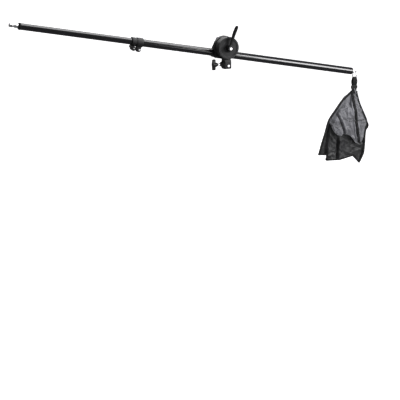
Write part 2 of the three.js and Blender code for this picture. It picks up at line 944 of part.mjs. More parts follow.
function rearCap() {
  const spigot = outerBoreRadius - fitGap;
  const seat = outerTubeRear + fitGap;
  const end = seat + capFlangeThickness;
  return lathed(
    "x",
    [
      [eyeShankRadius + fitGap, outerTubeRear - rearPlugLength],
      [spigot, outerTubeRear - rearPlugLength],
      [spigot, seat],
      [outerTubeRadius, seat],
      [outerTubeRadius, end - capChamfer],
      [outerTubeRadius - capChamfer, end],
      [eyeShankRadius + fitGap, end],
      [eyeShankRadius + fitGap, outerTubeRear - rearPlugLength],
    ],
    tubeSides,
  );
}

const capEnd = outerTubeRear + fitGap + capFlangeThickness;
const eyeFlangeFace = capEnd + fitGap;
const eyeFlangeEnd = eyeFlangeFace + eyeFlangeThickness;
const eyePlace = eyeFlangeEnd + eyeRadius + eyeWireRadius * half;
const eyeBarPlace = eyePlace + eyeRadius;

function eyeBolt() {
  const eye = solidOf(new THREE.TorusGeometry(eyeRadius, eyeWireRadius, wireSides, tubeSides));
  const shankStart = eyeFlangeFace - eyeShankLength;
  const shankEnd = eyeFlangeEnd + eyeWireRadius * half;
  return eye
    .translate([eyePlace, 0, 0])
    .add(rod("x", eyeFlangeRadius, eyeFlangeFace, eyeFlangeEnd))
    .add(rod("x", eyeShankRadius, shankStart, shankEnd));
}

const plugSeat = innerTubeFront - fitGap;
const plugNose = plugSeat - frontPlugFlangeLength - frontPlugConeLength;
const tenonHole = studTenonRadius + fitGap;

function frontPlug() {
  const spigot = innerBoreRadius - fitGap;
  return lathed(
    "x",
    [
      [tenonHole, plugNose],
      [frontPlugNoseRadius, plugNose],
      [frontPlugFlangeRadius, plugSeat - frontPlugFlangeLength],
      [frontPlugFlangeRadius, plugSeat],
      [spigot, plugSeat],
      [spigot, innerTubeFront + frontPlugSpigotLength],
      [tenonHole, innerTubeFront + frontPlugSpigotLength],
      [tenonHole, plugNose],
    ],
    tubeSides,
  );
}

const studRoot = plugNose - fitGap;
const studTip = studRoot - studLength;

function frontStud() {
  const grooveFront = studTip + studGrooveFromTip;
  const grooveRear = grooveFront + studGrooveLength;
  const slope = studRadius - studGrooveRadius;
  return lathed(
    "x",
    [
      [0, studTip],
      [studRadius - studChamfer, studTip],
      [studRadius, studTip + studChamfer],
      [studRadius, grooveFront],
      [studGrooveRadius, grooveFront + slope],
      [studGrooveRadius, grooveRear - slope],
      [studRadius, grooveRear],
      [studRadius, studRoot],
      [studTenonRadius, studRoot],
      [studTenonRadius, studRoot + studTenonLength],
      [0, studRoot + studTenonLength],
    ],
    tubeSides,
  );
}

// Spring hook, hung on the eye's rear bar: the bar is at its frame's origin
const hookTopWire = eyeWireRadius + 2 * fitGap + hookWireRadius; // free to swing on the bar
const hookTopCentre = hookTopWire - hookTopRadius;
const hookBottomCentre = hookTopCentre - hookCentreDistance;
const hookLean = Math.asin((hookBottomRadius - hookTopRadius) / hookCentreDistance);
const hookSideLength = hookCentreDistance * Math.cos(hookLean);
const hookBottomWire = hookBottomCentre - hookBottomRadius;

function onArc(radius, centre, angle) {
  return new THREE.Vector3(radius * Math.cos(angle), 0, centre + radius * Math.sin(angle));
}

// A point on the straight gate side, at a share of its length from the bottom arc.
function onGateSide(lengthShare) {
  const low = onArc(hookBottomRadius, hookBottomCentre, hookLean);
  const high = onArc(hookTopRadius, hookTopCentre, hookLean);
  return low.lerp(high, lengthShare);
}

const gateHingeShare = 0.2;
const gateCatchShare = 0.78;

function hookBody() {
  const bendSteps = smallSides * half;
  const points = [onGateSide(gateCatchShare + fitGap / hookSideLength)];
  const topSweep = Math.PI - 2 * hookLean;
  for (let i = 0; i <= bendSteps; i += 1) {
    points.push(onArc(hookTopRadius, hookTopCentre, hookLean + (topSweep * i) / bendSteps));
  }
  const bottomSweep = Math.PI + 2 * hookLean;
  for (let i = 0; i <= bendSteps; i += 1) {
    const angle = Math.PI - hookLean + (bottomSweep * i) / bendSteps;
    points.push(onArc(hookBottomRadius, hookBottomCentre, angle));
  }
  const hinge = onGateSide(gateHingeShare);
  points.push(hinge);
  const path = new THREE.CatmullRomCurve3(points, false, "centripetal");
  const knuckle = gateKnuckleRadius + fitGap;
  const cheek = gateTongueThickness * half;
  const clear = rod("y", knuckle, cheek, overrun).add(rod("y", knuckle, -overrun, -cheek));
  const tongue = rod("y", gateKnuckleRadius - fitGap, -cheek, cheek);
  const at = hinge.toArray();
  return wire(path, hookWireRadius, 2 * points.length)
    .subtract(clear.translate(at))
    .add(tongue.translate(at))
    .subtract(rod("y", gatePinRadius + fitGap, -overrun, overrun).translate(at));
}

function hookGate() {
  const hinge = onGateSide(gateHingeShare);
  const top = onGateSide(gateCatchShare - fitGap / hookSideLength);
  const arm = wire(new THREE.LineCurve3(hinge, top), gateWireRadius, 1);
  const at = hinge.toArray();
  const knuckle = rod("y", gateKnuckleRadius, -gateKnuckleReach, gateKnuckleReach);
  const slot = gateTongueThickness * half + fitGap;
  return arm
    .add(knuckle.translate(at))
    .subtract(rod("y", gateKnuckleRadius + fitGap, -slot, slot).translate(at))
    .subtract(rod("y", gatePinRadius + fitGap, -overrun, overrun).translate(at));
}

function gatePin() {
  const pin = rod("y", gatePinRadius, -gateKnuckleReach, gateKnuckleReach, wireSides);
  return pin.translate(onGateSide(gateHingeShare).toArray());
}

// Bag: a webbing loop over the hook's bottom wire, a slider and two flat pouches
const strapSpread = Math.asin((strapBunchedWidth * half) / hookBottomRadius);
const strapSaddle = hookBottomRadius * (1 - Math.cos(strapSpread)); // rise of the wire across the strap
const strapInside = hookWireRadius + strapSaddle + 2 * fitGap;
const strapTop = hookBottomWire + strapInside + strapThickness;

function strap() {
  const outside = strapInside + strapThickness;
  const t = strapThickness;
  const widest = (strapTop - sliderDrop) * half;
  const outer = new THREE.Shape();
  outer.absarc(0, hookBottomWire, outside, 0, Math.PI);
  outer.lineTo(-strapSlack - t, widest);
  outer.lineTo(-t, -sliderDrop + sliderHeight * half);
  outer.lineTo(-t, -strapDrop - strapTail);
  outer.lineTo(t, -strapDrop - strapTail);
  outer.lineTo(t, -sliderDrop + sliderHeight * half);
  outer.lineTo(strapSlack + t, widest);
  const inner = new THREE.Path();
  inner.absarc(0, hookBottomWire, strapInside, Math.PI, 0, true);
  inner.lineTo(strapSlack, widest);
  inner.lineTo(t * half, -sliderDrop + sliderHeight);
  inner.lineTo(-t * half, -sliderDrop + sliderHeight);
  inner.lineTo(-strapSlack, widest);
  outer.holes.push(inner);
  const wide = strapWidth * half;
  const bunched = strapBunchedWidth * half;
  const front = outlineOf([
    [-wide, -strapDrop - strapTail - overrun],
    [wide, -strapDrop - strapTail - overrun],
    [wide, widest],
    [bunched, hookBottomWire],
    [bunched, strapTop + overrun],
    [-bunched, strapTop + overrun],
    [-bunched, hookBottomWire],
    [-wide, widest],
  ]);
  return slab("yz", outer, -wide, wide).intersect(slab("xz", front, -strapWidth, strapWidth));
}

function strapSlider() {
  const width = strapWidth + 2 * (fitGap + sliderWall);
  const depth = 2 * (strapThickness + fitGap + sliderWall * half);
  const outer = roundedRectangle(width, depth, sliderWall * half);
  const inner = roundedRectangle(strapWidth + 2 * fitGap, 2 * (strapThickness + fitGap), fitGap);
  const low = -sliderDrop - sliderHeight;
  return slab("xy", outer, low, low + sliderHeight).subtract(
    slab("xy", inner, low - overrun, low + sliderHeight + overrun),
  );
}

// Corners of the two pouches as shares of the bag's width and of its drop below the neck.
const sideEdgeShare = 0.29; // where the side loop is sewn on
const rearPouchShares = [
  [0.058, 0.012],
  [0.131, 0.176],
  [0.283, 0.402],
  [sideEdgeShare, 0.5],
  [0.275, 0.6],
  [0.275, 0.72],
  [0.262, 0.869],
  [0.171, 0.998],
  [0.025, 0.893],
  [-0.262, 0.929],
  [-0.55, 0.917],
  [-0.534, 0.842],
  [-0.729, 0.827],
  [-0.671, 0.677],
  [-0.606, 0.536],
  [-0.533, 0.366],
  [-0.372, 0.214],
  [-0.244, 0.104],
  [-0.058, 0],
];
const frontPouchShares = [
  [0.05, 0.02],
  [0.12, 0.18],
  [0.262, 0.4],
  [0.268, 0.475],
  [0.23, 0.57],
  [0.2, 0.64],
  [0.115, 0.712],
  [0.045, 0.705],
  [-0.055, 0.61],
  [-0.19, 0.575],
  [-0.215, 0.553],
  [-0.24, 0.582],
  [-0.285, 0.594],
  [-0.355, 0.573],
  [-0.419, 0.529],
  [-0.477, 0.457],
  [-0.522, 0.39],
  [-0.51, 0.345],
  [-0.395, 0.24],
  [-0.29, 0.15],
  [-0.18, 0.075],
  [-0.05, 0.01],
];
const pouchInner = strapThickness + fitGap; // from the strap's middle to either pouch

function pouch(shares, from, to) {
  const corners = shares.map(([x, z]) => [x * bagWidth, -strapDrop - z * bagDrop]);
  return slab("xz", outlineOf(corners.reverse()), from, to, pouchPuff);
}

function frontWebbing() {
  const face = -pouchInner - pouchThickness - fitGap;
  const top = -strapDrop - 2 * stitchInset;
  const strip = roundedRectangle(
    strapWidth * half,
    webbingLength,
    webbingThickness,
    stitchInset,
    top - webbingLength * half,
  );
  return slab("xz", strip, face - webbingThickness, face);
}

const zipFace = -(pouchInner + pouchThickness + fitGap + webbingThickness + fitGap);

function frontZip() {
  const drop = strapDrop + zipDrop;
  const strip = roundedRectangle(zipLength, zipWidth, webbingThickness, zipShift, -drop);
  return slab("xz", strip, zipFace - webbingThickness, zipFace);
}

function zipPull() {
  const face = zipFace - webbingThickness - fitGap;
  const place = zipShift + zipLength * half - zipPullWidth;
  const drop = strapDrop + zipDrop + (zipPullLength - zipWidth) * half;
  const tab = roundedRectangle(zipPullWidth, zipPullLength, zipPullWidth * half - fitGap, place, -drop);
  const hole = rod("y", zipPullWidth * half * half, face - overrun, face + overrun);
  const holeDrop = strapDrop + zipDrop + zipPullLength - zipWidth;
  return slab("xz", tab, face - webbingThickness, face).subtract(hole.translate([place, 0, -holeDrop]));
}

function sideLoop() {
  const edge = sideEdgeShare * bagWidth + fitGap;
  const tab = roundedRectangle(
    sideLoopReach,
    sideLoopHeight,
    sideLoopReach * half - fitGap,
    edge + sideLoopReach * half,
    -strapDrop - sideLoopDrop,
  );
  return slab("xz", tab, pouchInner + sideLoopThickness, pouchInner + 2 * sideLoopThickness);
}

// Assembly
const arm = new THREE.Group();

const stand = new THREE.Group();
const bush = ring("y", bushRadius, boltHole, -pivotDiscHalf, pivotDiscHalf, tubeSides);
place(stand, "receiver", receiver(), "castBlack");
place(stand, "pivot_bush", bush.translate([0, 0, pivotHeight]), "bronze");
place(stand, "stud_set_screw", setScrew(), "chrome");
place(stand, "socket_knob", socketKnob(), "plasticBlack");
place(stand, "socket_knob_screw", socketKnobScrew(), "chrome");
arm.add(stand);

const boom = new THREE.Group();
boom.position.set(0, 0, pivotHeight);
boom.rotation.y = boomTiltDegrees * radiansPerDegree;
place(boom, "front_disc", frontDisc(), "castBlack");
place(boom, "front_pad", clampPad(-padRear), "padBlack");
place(boom, "rear_pad", clampPad(padFront), "padBlack");
place(boom, "middle_jaw", middleJaw(), "castBlack");
place(boom, "rear_jaw", rearJaw(), "castBlack");
place(boom, "clamp_bolt", clampBolt(), "chrome");
place(boom, "bolt_washer", boltWasher(), "chrome");
place(boom, "jaw_spring", jawSpring(), "chrome");
place(boom, "lever_insert", leverInsert(), "bronze");
place(boom, "lever_handle", leverHandle(), "plasticBlack");
place(boom, "lever_screw", leverScrew(), "chrome");
place(boom, "lever_spring", leverSpring(), "chrome");

const tubeLine = new THREE.Group();
tubeLine.position.set(0, tubeSetback, -tubeDrop);
place(tubeLine, "outer_tube", outerTube(), "tubeBlack");
place(tubeLine, "inner_tube", innerTube(), "tubeBlack");
place(tubeLine, "inner_guide", guidePlug(), "plasticBlack");
place(tubeLine, "front_plug", frontPlug(), "plasticBlack");
place(tubeLine, "front_stud", frontStud(), "chrome");
place(tubeLine, "collar_body", collarBody(), "castBlack");
place(tubeLine, "sleeve_screw", sleeveScrew(), "chrome");
place(tubeLine, "sleeve_nut", collarNut(sleeveEarPlace, sleeveEarDrop), "chrome");
place(tubeLine, "collar_lever", thumbLever(), "plasticBlack");
place(tubeLine, "collar_screw", thumbScrew(), "chrome");
place(tubeLine, "collar_nut", collarNut(ringEarPlace, ringEarDrop), "chrome");
place(tubeLine, "rear_cap", rearCap(), "plasticBlack");
place(tubeLine, "eye_bolt", eyeBolt(), "chrome");
boom.add(tubeLine);
arm.add(boom);

// What hangs on the eye hangs upright, whatever the boom's tilt
const hanging = new THREE.Group();
const eyeBar = new THREE.Vector3(eyeBarPlace, tubeSetback, -tubeDrop);
const pouchOuter = pouchInner + pouchThickness;
hanging.position.copy(eyeBar.applyEuler(boom.rotation).add(boom.position));
place(hanging, "hook_body", hookBody(), "chrome");
place(hanging, "hook_gate", hookGate(), "chrome");
place(hanging, "gate_pin", gatePin(), "chrome");
place(hanging, "strap", strap(), "webbing");
place(hanging, "strap_slider", strapSlider(), "plasticBlack");
place(hanging, "rear_pouch", pouch(rearPouchShares, pouchInner, pouchOuter), "nylonClothDark");
place(hanging, "front_pouch", pouch(frontPouchShares, -pouchOuter, -pouchInner), "nylonCloth");
place(hanging, "front_webbing", frontWebbing(), "webbing");
place(hanging, "front_zip", frontZip(), "webbing");
place(hanging, "zip_pull", zipPull(), "chrome");
place(hanging, "side_loop", sideLoop(), "webbing");
arm.add(hanging);

export default arm;
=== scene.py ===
"""Overhead boom arm: a tilting clamp head, a two-stage tube with a lamp stud at one end
and an empty counterweight bag on a spring hook at the other."""

import json
import math
import bmesh
import bpy
from bpy.props import FloatProperty, FloatVectorProperty, IntProperty, PointerProperty
from mathutils import Matrix, Vector, noise
from mathutils.bvhtree import BVHTree

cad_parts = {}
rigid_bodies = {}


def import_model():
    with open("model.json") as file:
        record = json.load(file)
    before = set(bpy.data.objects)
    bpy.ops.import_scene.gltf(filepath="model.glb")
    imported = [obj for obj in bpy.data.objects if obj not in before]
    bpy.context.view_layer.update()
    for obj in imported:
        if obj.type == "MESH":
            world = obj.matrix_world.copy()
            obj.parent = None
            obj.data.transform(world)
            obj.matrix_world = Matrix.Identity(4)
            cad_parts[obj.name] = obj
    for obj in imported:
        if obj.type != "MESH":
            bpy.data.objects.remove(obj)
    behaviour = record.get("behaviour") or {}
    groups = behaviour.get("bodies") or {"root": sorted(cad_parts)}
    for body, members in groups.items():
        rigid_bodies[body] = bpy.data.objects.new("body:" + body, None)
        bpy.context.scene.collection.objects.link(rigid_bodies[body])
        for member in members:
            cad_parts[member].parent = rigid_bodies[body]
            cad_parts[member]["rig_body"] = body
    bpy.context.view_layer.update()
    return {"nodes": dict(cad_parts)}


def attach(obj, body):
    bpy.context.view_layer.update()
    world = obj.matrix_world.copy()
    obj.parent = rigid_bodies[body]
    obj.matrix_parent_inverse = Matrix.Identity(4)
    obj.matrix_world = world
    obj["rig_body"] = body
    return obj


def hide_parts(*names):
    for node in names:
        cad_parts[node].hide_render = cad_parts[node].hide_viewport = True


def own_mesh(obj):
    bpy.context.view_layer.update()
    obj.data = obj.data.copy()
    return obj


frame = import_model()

bl_info = {
    "name": "Overhead boom arm",
    "version": (1, 0, 0),
    "blender": (4, 5, 0),
    "location": "3D View > Sidebar > Boom arm",
    "description": "Dresses the overhead boom arm piece by piece",
    "category": "Add Mesh",
}

MM = 0.001
BOLT_HOLE = 5.3  # radius in millimetres of every hole that the clamp bolt goes through
BODY_OF = {name: node["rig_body"] for name, node in frame["nodes"].items()}

# Local Z onto the row's X or Y, and an outline's plane onto X and Z or onto Y and Z
ALONG_X = Matrix.Rotation(math.pi / 2, 4, "Y")
ALONG_Y = Matrix.Rotation(-math.pi / 2, 4, "X")
FACING = Matrix.Rotation(math.pi / 2, 4, "X")
ACROSS = Matrix(((0, 0, 1, 0), (1, 0, 0, 0), (0, 1, 0, 0), (0, 0, 0, 1)))

PIVOT = Vector((0, 0, 0.088))
HANGING = Vector((0.657254, 0.040, -0.064834))
KNOB_HEIGHT = Matrix.Translation((0, 0, 0.019))
KNOB_LINE = KNOB_HEIGHT @ ALONG_X
KNOB_OUTWARD = KNOB_HEIGHT @ ALONG_X.inverted()
SET_SCREW_LINE = Matrix.Translation((0.003, 0, 0.013)) @ ALONG_Y


def length_of(name, description, value):
    return FloatProperty(name=name, description=description, default=value, unit="LENGTH")


def count_of(name, description, value):
    return IntProperty(name=name, description=description, default=value)


def colour_of(name, description, value):
    return FloatVectorProperty(
        name=name, description=description, default=value, subtype="COLOR", size=3, min=0, max=1
    )


class HeadSizes(bpy.types.PropertyGroup):
    tilt: FloatProperty(
        name="Boom tilt", description="Bag end down", default=math.radians(10.5), subtype="ANGLE"
    )
    tube_drop: length_of("Tube drop", "Tube line below the clamp bolt", 0.0305)
    tube_setback: length_of("Tube setback", "Tube line behind the socket", 0.040)
    cast_grid: length_of("Casting grid", "How finely the castings' fillets are worked out", 0.0007)


class BoomSizes(bpy.types.PropertyGroup):
    outer_radius: length_of("Outer tube radius", "Outside of the rear stage", 0.015)
    inner_radius: length_of("Inner tube radius", "Outside of the front stage", 0.013)
    round_sides: count_of("Sides round a tube", "Facets round a tube or disc", 112)
    wire_sides: count_of("Sides round a wire", "Facets round a wire or spring", 14)


class BagSizes(bpy.types.PropertyGroup):
    binding: length_of("Binding", "Width of the tape round the edges", 0.009)
    weave: length_of("Weave", "Pitch of the nylon's yarns", 0.0007)


class Finishes(bpy.types.PropertyGroup):
    cast_black: colour_of("Cast black", "Painted castings", (0.008, 0.008, 0.009))
    tube_black: colour_of("Tube black", "Gloss coat of the tubes", (0.006, 0.006, 0.007))
    plastic_black: colour_of("Plastic black", "Moulded knob, lever and caps", (0.007, 0.007, 0.0075))
    pad_black: colour_of("Pad", "Friction pads", (0.03, 0.029, 0.028))
    chrome: colour_of("Chrome", "Screws, stud, hook and eye", (0.62, 0.62, 0.63))
    bronze: colour_of("Bronze", "Bush and threaded insert", (0.42, 0.25, 0.1))
    # Front and rear nylon are lit and shaded copies of one cloth: the front colour is lightened as
    # painted light, the rear colour darkened as painted shade.
    nylon: colour_of("Nylon", "Front cloth of the bag", (0.058, 0.058, 0.064))
    nylon_painted_shade: colour_of("Nylon with painted shade", "Rear cloth of the bag", (0.0095, 0.0095, 0.0105))
    webbing: colour_of("Webbing", "Strap, bindings and tapes", (0.004, 0.004, 0.0045))
    floor: colour_of("Floor", "Studio floor", (0.93, 0.93, 0.935))


class StageSizes(bpy.types.PropertyGroup):
    lens: FloatProperty(name="Lens", description="Focal length", default=104.76, unit="CAMERA")
    light: FloatProperty(name="Light", description="Strength of the studio lights", default=1.0)


class BoomArmSettings(bpy.types.PropertyGroup):
    head: PointerProperty(type=HeadSizes)
    boom: PointerProperty(type=BoomSizes)
    bag: PointerProperty(type=BagSizes)
    finishes: PointerProperty(type=Finishes)
    stage: PointerProperty(type=StageSizes)


def settings():
    return bpy.context.scene.boom_arm


def head_frame():
    """The boom's own frame with the clamp bolt at its origin."""
    return Matrix.Translation(PIVOT) @ Matrix.Rotation(settings().head.tilt, 4, "Y")


def tube_frame():
    head = settings().head
    return head_frame() @ Matrix.Translation((0, head.tube_setback, -head.tube_drop))


def hanging_frame():
    """Upright, with the eye's rear bar at its origin."""
    return Matrix.Translation(HANGING)


# Shapes


def turned(profile, place=Matrix(), closed=False, sides=None):
    """A body of revolution about local Z, from (radius, place along Z) pairs in millimetres."""
    bm = bmesh.new()
    line = [bm.verts.new((radius * MM, 0, along * MM)) for radius, along in profile]
    pairs = list(zip(line, line[1:])) + ([(line[-1], line[0])] if closed else [])
    edges = [bm.edges.new(pair) for pair in pairs]
    bmesh.ops.spin(
        bm,
        geom=line + edges,
        cent=(0, 0, 0),
        axis=(0, 0, 1),
        dvec=(0, 0, 0),
        angle=2 * math.pi,
        steps=sides or settings().boom.round_sides,
        use_merge=True,
    )
    bmesh.ops.remove_doubles(bm, verts=bm.verts[:], dist=1e-7)
    bmesh.ops.recalc_face_normals(bm, faces=bm.faces[:])
    bm.transform(place)
    return bm


def rod(radius, low, high, place=Matrix(), sides=48):
    return turned([(0, low), (radius, low), (radius, high), (0, high)], place, sides=sides)


def ring(bore, radius, low, high, place, sides=None):
    return turned([(bore, low), (radius, low), (radius, high), (bore, high)], place, True, sides)


def bevelled(bm, edges, width, segments):
    bmesh.ops.bevel(
        bm,
        geom=edges,
        offset=width,
        offset_type="OFFSET",
        segments=segments,
        profile=0.5,
        affect="EDGES",
        clamp_overlap=True,
        material=-1,
    )


def softened(bm, width, segments=3, angle=30):
    """Rounds every edge that is sharper than angle, width in millimetres."""
    bm.normal_update()
    limit = math.radians(angle)
    edges = [edge for edge in bm.edges if edge.is_manifold and edge.calc_face_angle(0) > limit]
    bevelled(bm, edges, width * MM, segments)
    return bm


def prism(corners, low, high, place=Matrix(), corner=0, segments=8):
    """An outline in local X and Y, from low to high along Z, its upright edges rounded."""
    bm = bmesh.new()
    face = bm.faces.new([bm.verts.new((x * MM, y * MM, low * MM)) for x, y in corners])
    grown = bmesh.ops.extrude_face_region(bm, geom=[face], use_keep_orig=True)
    raised = [item for item in grown["geom"] if isinstance(item, bmesh.types.BMVert)]
    bmesh.ops.translate(bm, verts=raised, vec=(0, 0, (high - low) * MM))
    bmesh.ops.recalc_face_normals(bm, faces=bm.faces[:])
    if corner:
        upright = [
            edge for edge in bm.edges if abs(edge.verts[0].co.z - edge.verts[1].co.z) > 1e-6
        ]
        bevelled(bm, upright, corner * MM, segments)
    bm.transform(place)
    return bm


def box_of(width, height, x=0, y=0):
    w, h = width / 2, height / 2
    return [(x - w, y - h), (x + w, y - h), (x + w, y + h), (x - w, y + h)]


def hexagon(radius, low, high, place=Matrix()):
    """A hexagon bar with turned corners."""
    bar = prism(round_outline(radius, 6), low, high)
    flat = radius * math.cos(math.pi / 6)
    corner = (radius - flat) * 0.55
    wide = radius + 0.05
    half = [(0, low), (flat, low), (wide, low + corner)]
    bound = turned(half + [(r, low + high - z) for r, z in reversed(half)], sides=72)
    bar = cut(bar, [bound], "INTERSECT")
    bar.transform(place)
    return bar


def trimmed(bm, point, normal):
    """Takes off what lies beyond a plane and closes the cut."""
    out = bmesh.ops.bisect_plane(
        bm,
        geom=bm.verts[:] + bm.edges[:] + bm.faces[:],
        plane_co=Vector(point) * MM,
        plane_no=Vector(normal),
        clear_outer=True,
        dist=1e-8,
    )
    edges = [item for item in out["geom_cut"] if isinstance(item, bmesh.types.BMEdge)]
    bmesh.ops.holes_fill(bm, edges=edges, sides=0)
    return bm


def frames_along(points):
    """Placements at the points of a path, local Z along it and without twist."""
    turns = []
    ahead = (points[1] - points[0]).normalized()
    turn = Vector((0, 0, 1)).rotation_difference(ahead).to_matrix()
    for i, point in enumerate(points):
        before = points[max(i - 1, 0)]
        after = points[min(i + 1, len(points) - 1)]
        now = (after - before).normalized()
        turn = ahead.rotation_difference(now).to_matrix() @ turn
        ahead = now
        turns.append(Matrix.Translation(point) @ turn.to_4x4())
    return turns


def drawn(placements, outline):
    """A closed skin: an outline drawn through a row of placements."""
    bm = bmesh.new()
    face = bm.faces.new([bm.verts.new(placements[0] @ Vector((x, y, 0))) for x, y in outline])
    keep = True
    for before, after in zip(placements, placements[1:]):
        grown = bmesh.ops.extrude_face_region(bm, geom=[face], use_keep_orig=keep)
        keep = False
        verts = [item for item in grown["geom"] if isinstance(item, bmesh.types.BMVert)]
        face = next(item for item in grown["geom"] if isinstance(item, bmesh.types.BMFace))
        bmesh.ops.transform(bm, matrix=after @ before.inverted(), verts=verts)
    bmesh.ops.recalc_face_normals(bm, faces=bm.faces[:])
    return bm


def round_outline(radius, sides):
    return [
        (radius * math.cos(2 * math.pi * i / sides), radius * math.sin(2 * math.pi * i / sides))
        for i in range(sides)
    ]


def wire(points, radius, place=Matrix(), sides=None, taper=0):
    """A round wire through points in millimetres, its ends drawn in a little."""
    path = [Vector(point) * MM for point in points]
    placements = frames_along(path)
    if taper:
        first, last = placements[0], placements[-1]
        step = taper * MM
        placements = (
            [first @ Matrix.Translation((0, 0, -step)) @ Matrix.Scale(0.55, 4)]
            + [first @ Matrix.Translation((0, 0, -step * 0.5)) @ Matrix.Scale(0.9, 4)]
            + placements
            + [last @ Matrix.Translation((0, 0, step * 0.5)) @ Matrix.Scale(0.9, 4)]
            + [last @ Matrix.Translation((0, 0, step)) @ Matrix.Scale(0.55, 4)]
        )
    bm = drawn(placements, round_outline(radius * MM, sides or settings().boom.wire_sides))
    bm.transform(place)
    return bm


def helix(radius, low, high, turns, steps=30, squared=0.0):
    """Points of a coil about local Z; squared is the share of a turn closed flat at each end."""
    count = round(turns * steps)
    points = []
    for i in range(count + 1):
        angle = 2 * math.pi * i / steps
        share = i / count
        if squared:
            flat = squared / turns
            share = min(max((share - flat) / (1 - 2 * flat), 0), 1)
            share = share * share * (3 - 2 * share) * 0.25 + share * 0.75
        along = low + (high - low) * share
        points.append((radius * math.cos(angle), radius * math.sin(angle), along))
    return points


def threaded(radius, low, high, pitch, place=Matrix()):
    """A screw's core with its thread as a ridge that winds round it."""
    core = rod(radius * 0.93, low, high, sides=40)
    softened(core, radius * 0.12, 2)
    ridge = wire(
        helix(radius * 0.9, low + pitch, high - pitch, (high - low) / pitch - 2, 26),
        radius * 0.1,
        sides=4,
        taper=0.3,
    )
    whole = gathered([core, ridge])
    whole.transform(place)
    return whole


def gathered(shells):
    """Several closed shells as one mesh."""
    bm = bmesh.new()
    for shell in shells:
        mesh = bpy.data.meshes.new("shell")
        shell.to_mesh(mesh)
        bm.from_mesh(mesh)
        bpy.data.meshes.remove(mesh)
        shell.free()
    return bm


def held_object(bm, name="blank"):
    mesh = bpy.data.meshes.new(name)
    bm.to_mesh(mesh)
    bm.free()
    blank = bpy.data.objects.new(name, mesh)
    bpy.context.scene.collection.objects.link(blank)
    return blank


def worked(blank, others=()):
    """The blank's mesh with its modifiers applied; the blank and its tools are removed."""
    bpy.context.view_layer.update()
    graph = bpy.context.evaluated_depsgraph_get()
    bm = bmesh.new()
    bm.from_object(blank, graph)
    for done in (blank, *others):
        mesh = done.data
        bpy.data.objects.remove(done)
        bpy.data.meshes.remove(mesh)
    return bm


def cut(bm, tools, operation="DIFFERENCE"):
    """Takes closed shells off another, or keeps only what they share."""
    blank = held_object(bm)
    others = [held_object(tool, "tool") for tool in tools]
    for other in others:
        modifier = blank.modifiers.new("Cut", "BOOLEAN")
        modifier.operation = operation
        modifier.solver = "EXACT"
        modifier.object = other
    return worked(blank, others)


def fused(shells, grid, rounds, cuts=()):
    """Overlapping shells cast into one skin with filled-out inner corners, then machined."""
    blank = held_object(gathered(shells))
    skin = blank.modifiers.new("Cast", "REMESH")
    skin.mode = "VOXEL"
    skin.voxel_size = grid
    fettle = blank.modifiers.new("Fettle", "SMOOTH")
    fettle.factor = 0.5
    fettle.iterations = rounds
    bm = worked(blank)
    return cut(bm, list(cuts)) if cuts else bm


def finished(bm, name, finish, nodes=(), body=None, sharp=34):
    """The piece as an object at the origin, riding on its body in place of its CAD nodes."""
    material = FINISH[finish]
    limit = math.radians(sharp)
    for face in bm.faces:
        face.smooth = True
        face.material_index = 0
    for edge in bm.edges:
        edge.smooth = edge.is_manifold and edge.calc_face_angle(0) < limit
    mesh = bpy.data.meshes.new(name)
    bm.to_mesh(mesh)
    bm.free()
    mesh.materials.clear()
    mesh.materials.append(material)
    piece = bpy.data.objects.new(name, mesh)
    bpy.context.scene.collection.objects.link(piece)
    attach(piece, body or BODY_OF[nodes[0]])
    if nodes:
        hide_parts(*nodes)
    if material["slot"] not in ("nylon_cloth", "webbing"):
        even = piece.modifiers.new("Even shading", "WEIGHTED_NORMAL")
        even.mode = "FACE_AREA"
        even.weight = 60
        even.keep_sharp = True
    return piece


# Finishes


def link_noise(tree, scale, detail=3.0, rough=0.5, stretch=None, turn=None):
    """A noise on Object coordinates, stretched or turned by a Mapping node."""
    source = tree.nodes.new("ShaderNodeTexCoord").outputs["Object"]
    if stretch or turn:
        mapping = tree.nodes.new("ShaderNodeMapping")
        if turn:
            mapping.inputs["Rotation"].default_value = turn
        if stretch:
            mapping.inputs["Scale"].default_value = stretch
        tree.links.new(source, mapping.inputs["Vector"])
        source = mapping.outputs["Vector"]
    pattern = tree.nodes.new("ShaderNodeTexNoise")
    for socket, value in (("Scale", scale), ("Detail", detail), ("Roughness", rough)):
        pattern.inputs[socket].default_value = value
    tree.links.new(source, pattern.inputs["Vector"])
    return pattern.outputs["Fac"]


def ranged(tree, value, low, high, start=0.3, end=0.7):
    """The value spread from low to high."""
    node = tree.nodes.new("ShaderNodeMapRange")
    limits = {"From Min": start, "From Max": end, "To Min": low, "To Max": high}
    for socket, limit in limits.items():
        node.inputs[socket].default_value = limit
    tree.links.new(value, node.inputs["Value"])
    return node.outputs["Result"]


def blended(tree, factor, first, second):
    """A colour between two, by a factor that varies over the surface."""
    mix = tree.nodes.new("ShaderNodeMix")
    mix.data_type = "RGBA"
    mix.inputs[6].default_value = (*first, 1)
    mix.inputs[7].default_value = (*second, 1)
    tree.links.new(factor, mix.inputs["Factor"])
    return mix.outputs[2]


def raised(tree, height, depth, under=None):
    """A bump of a depth in metres over another one."""
    bump = tree.nodes.new("ShaderNodeBump")
    bump.inputs["Distance"].default_value = depth
    tree.links.new(height, bump.inputs["Height"])
    if under:
        tree.links.new(under, bump.inputs["Normal"])
    return bump.outputs["Normal"]


def tinted(colour, share):
    return tuple(min(1, c * share) for c in colour)


def material_for(name, slot, **sockets):
    """A new material, its shader's even values set on the shader's own sockets."""
    if name in bpy.data.materials:
        bpy.data.materials.remove(bpy.data.materials[name])
    material = bpy.data.materials.new(name)
    material.use_nodes = True
    material["slot"] = slot
    shader = material.node_tree.nodes["Principled BSDF"]
    for socket, value in sockets.items():
        shader.inputs[socket.replace("_", " ")].default_value = value
    return material, material.node_tree


def linked(material, **outputs):
    """Links what varies over the surface to the sockets of the material's shader."""
    tree = material.node_tree
    for socket, output in outputs.items():
        tree.links.new(output, tree.nodes["Principled BSDF"].inputs[socket.replace("_", " ")])
    return material


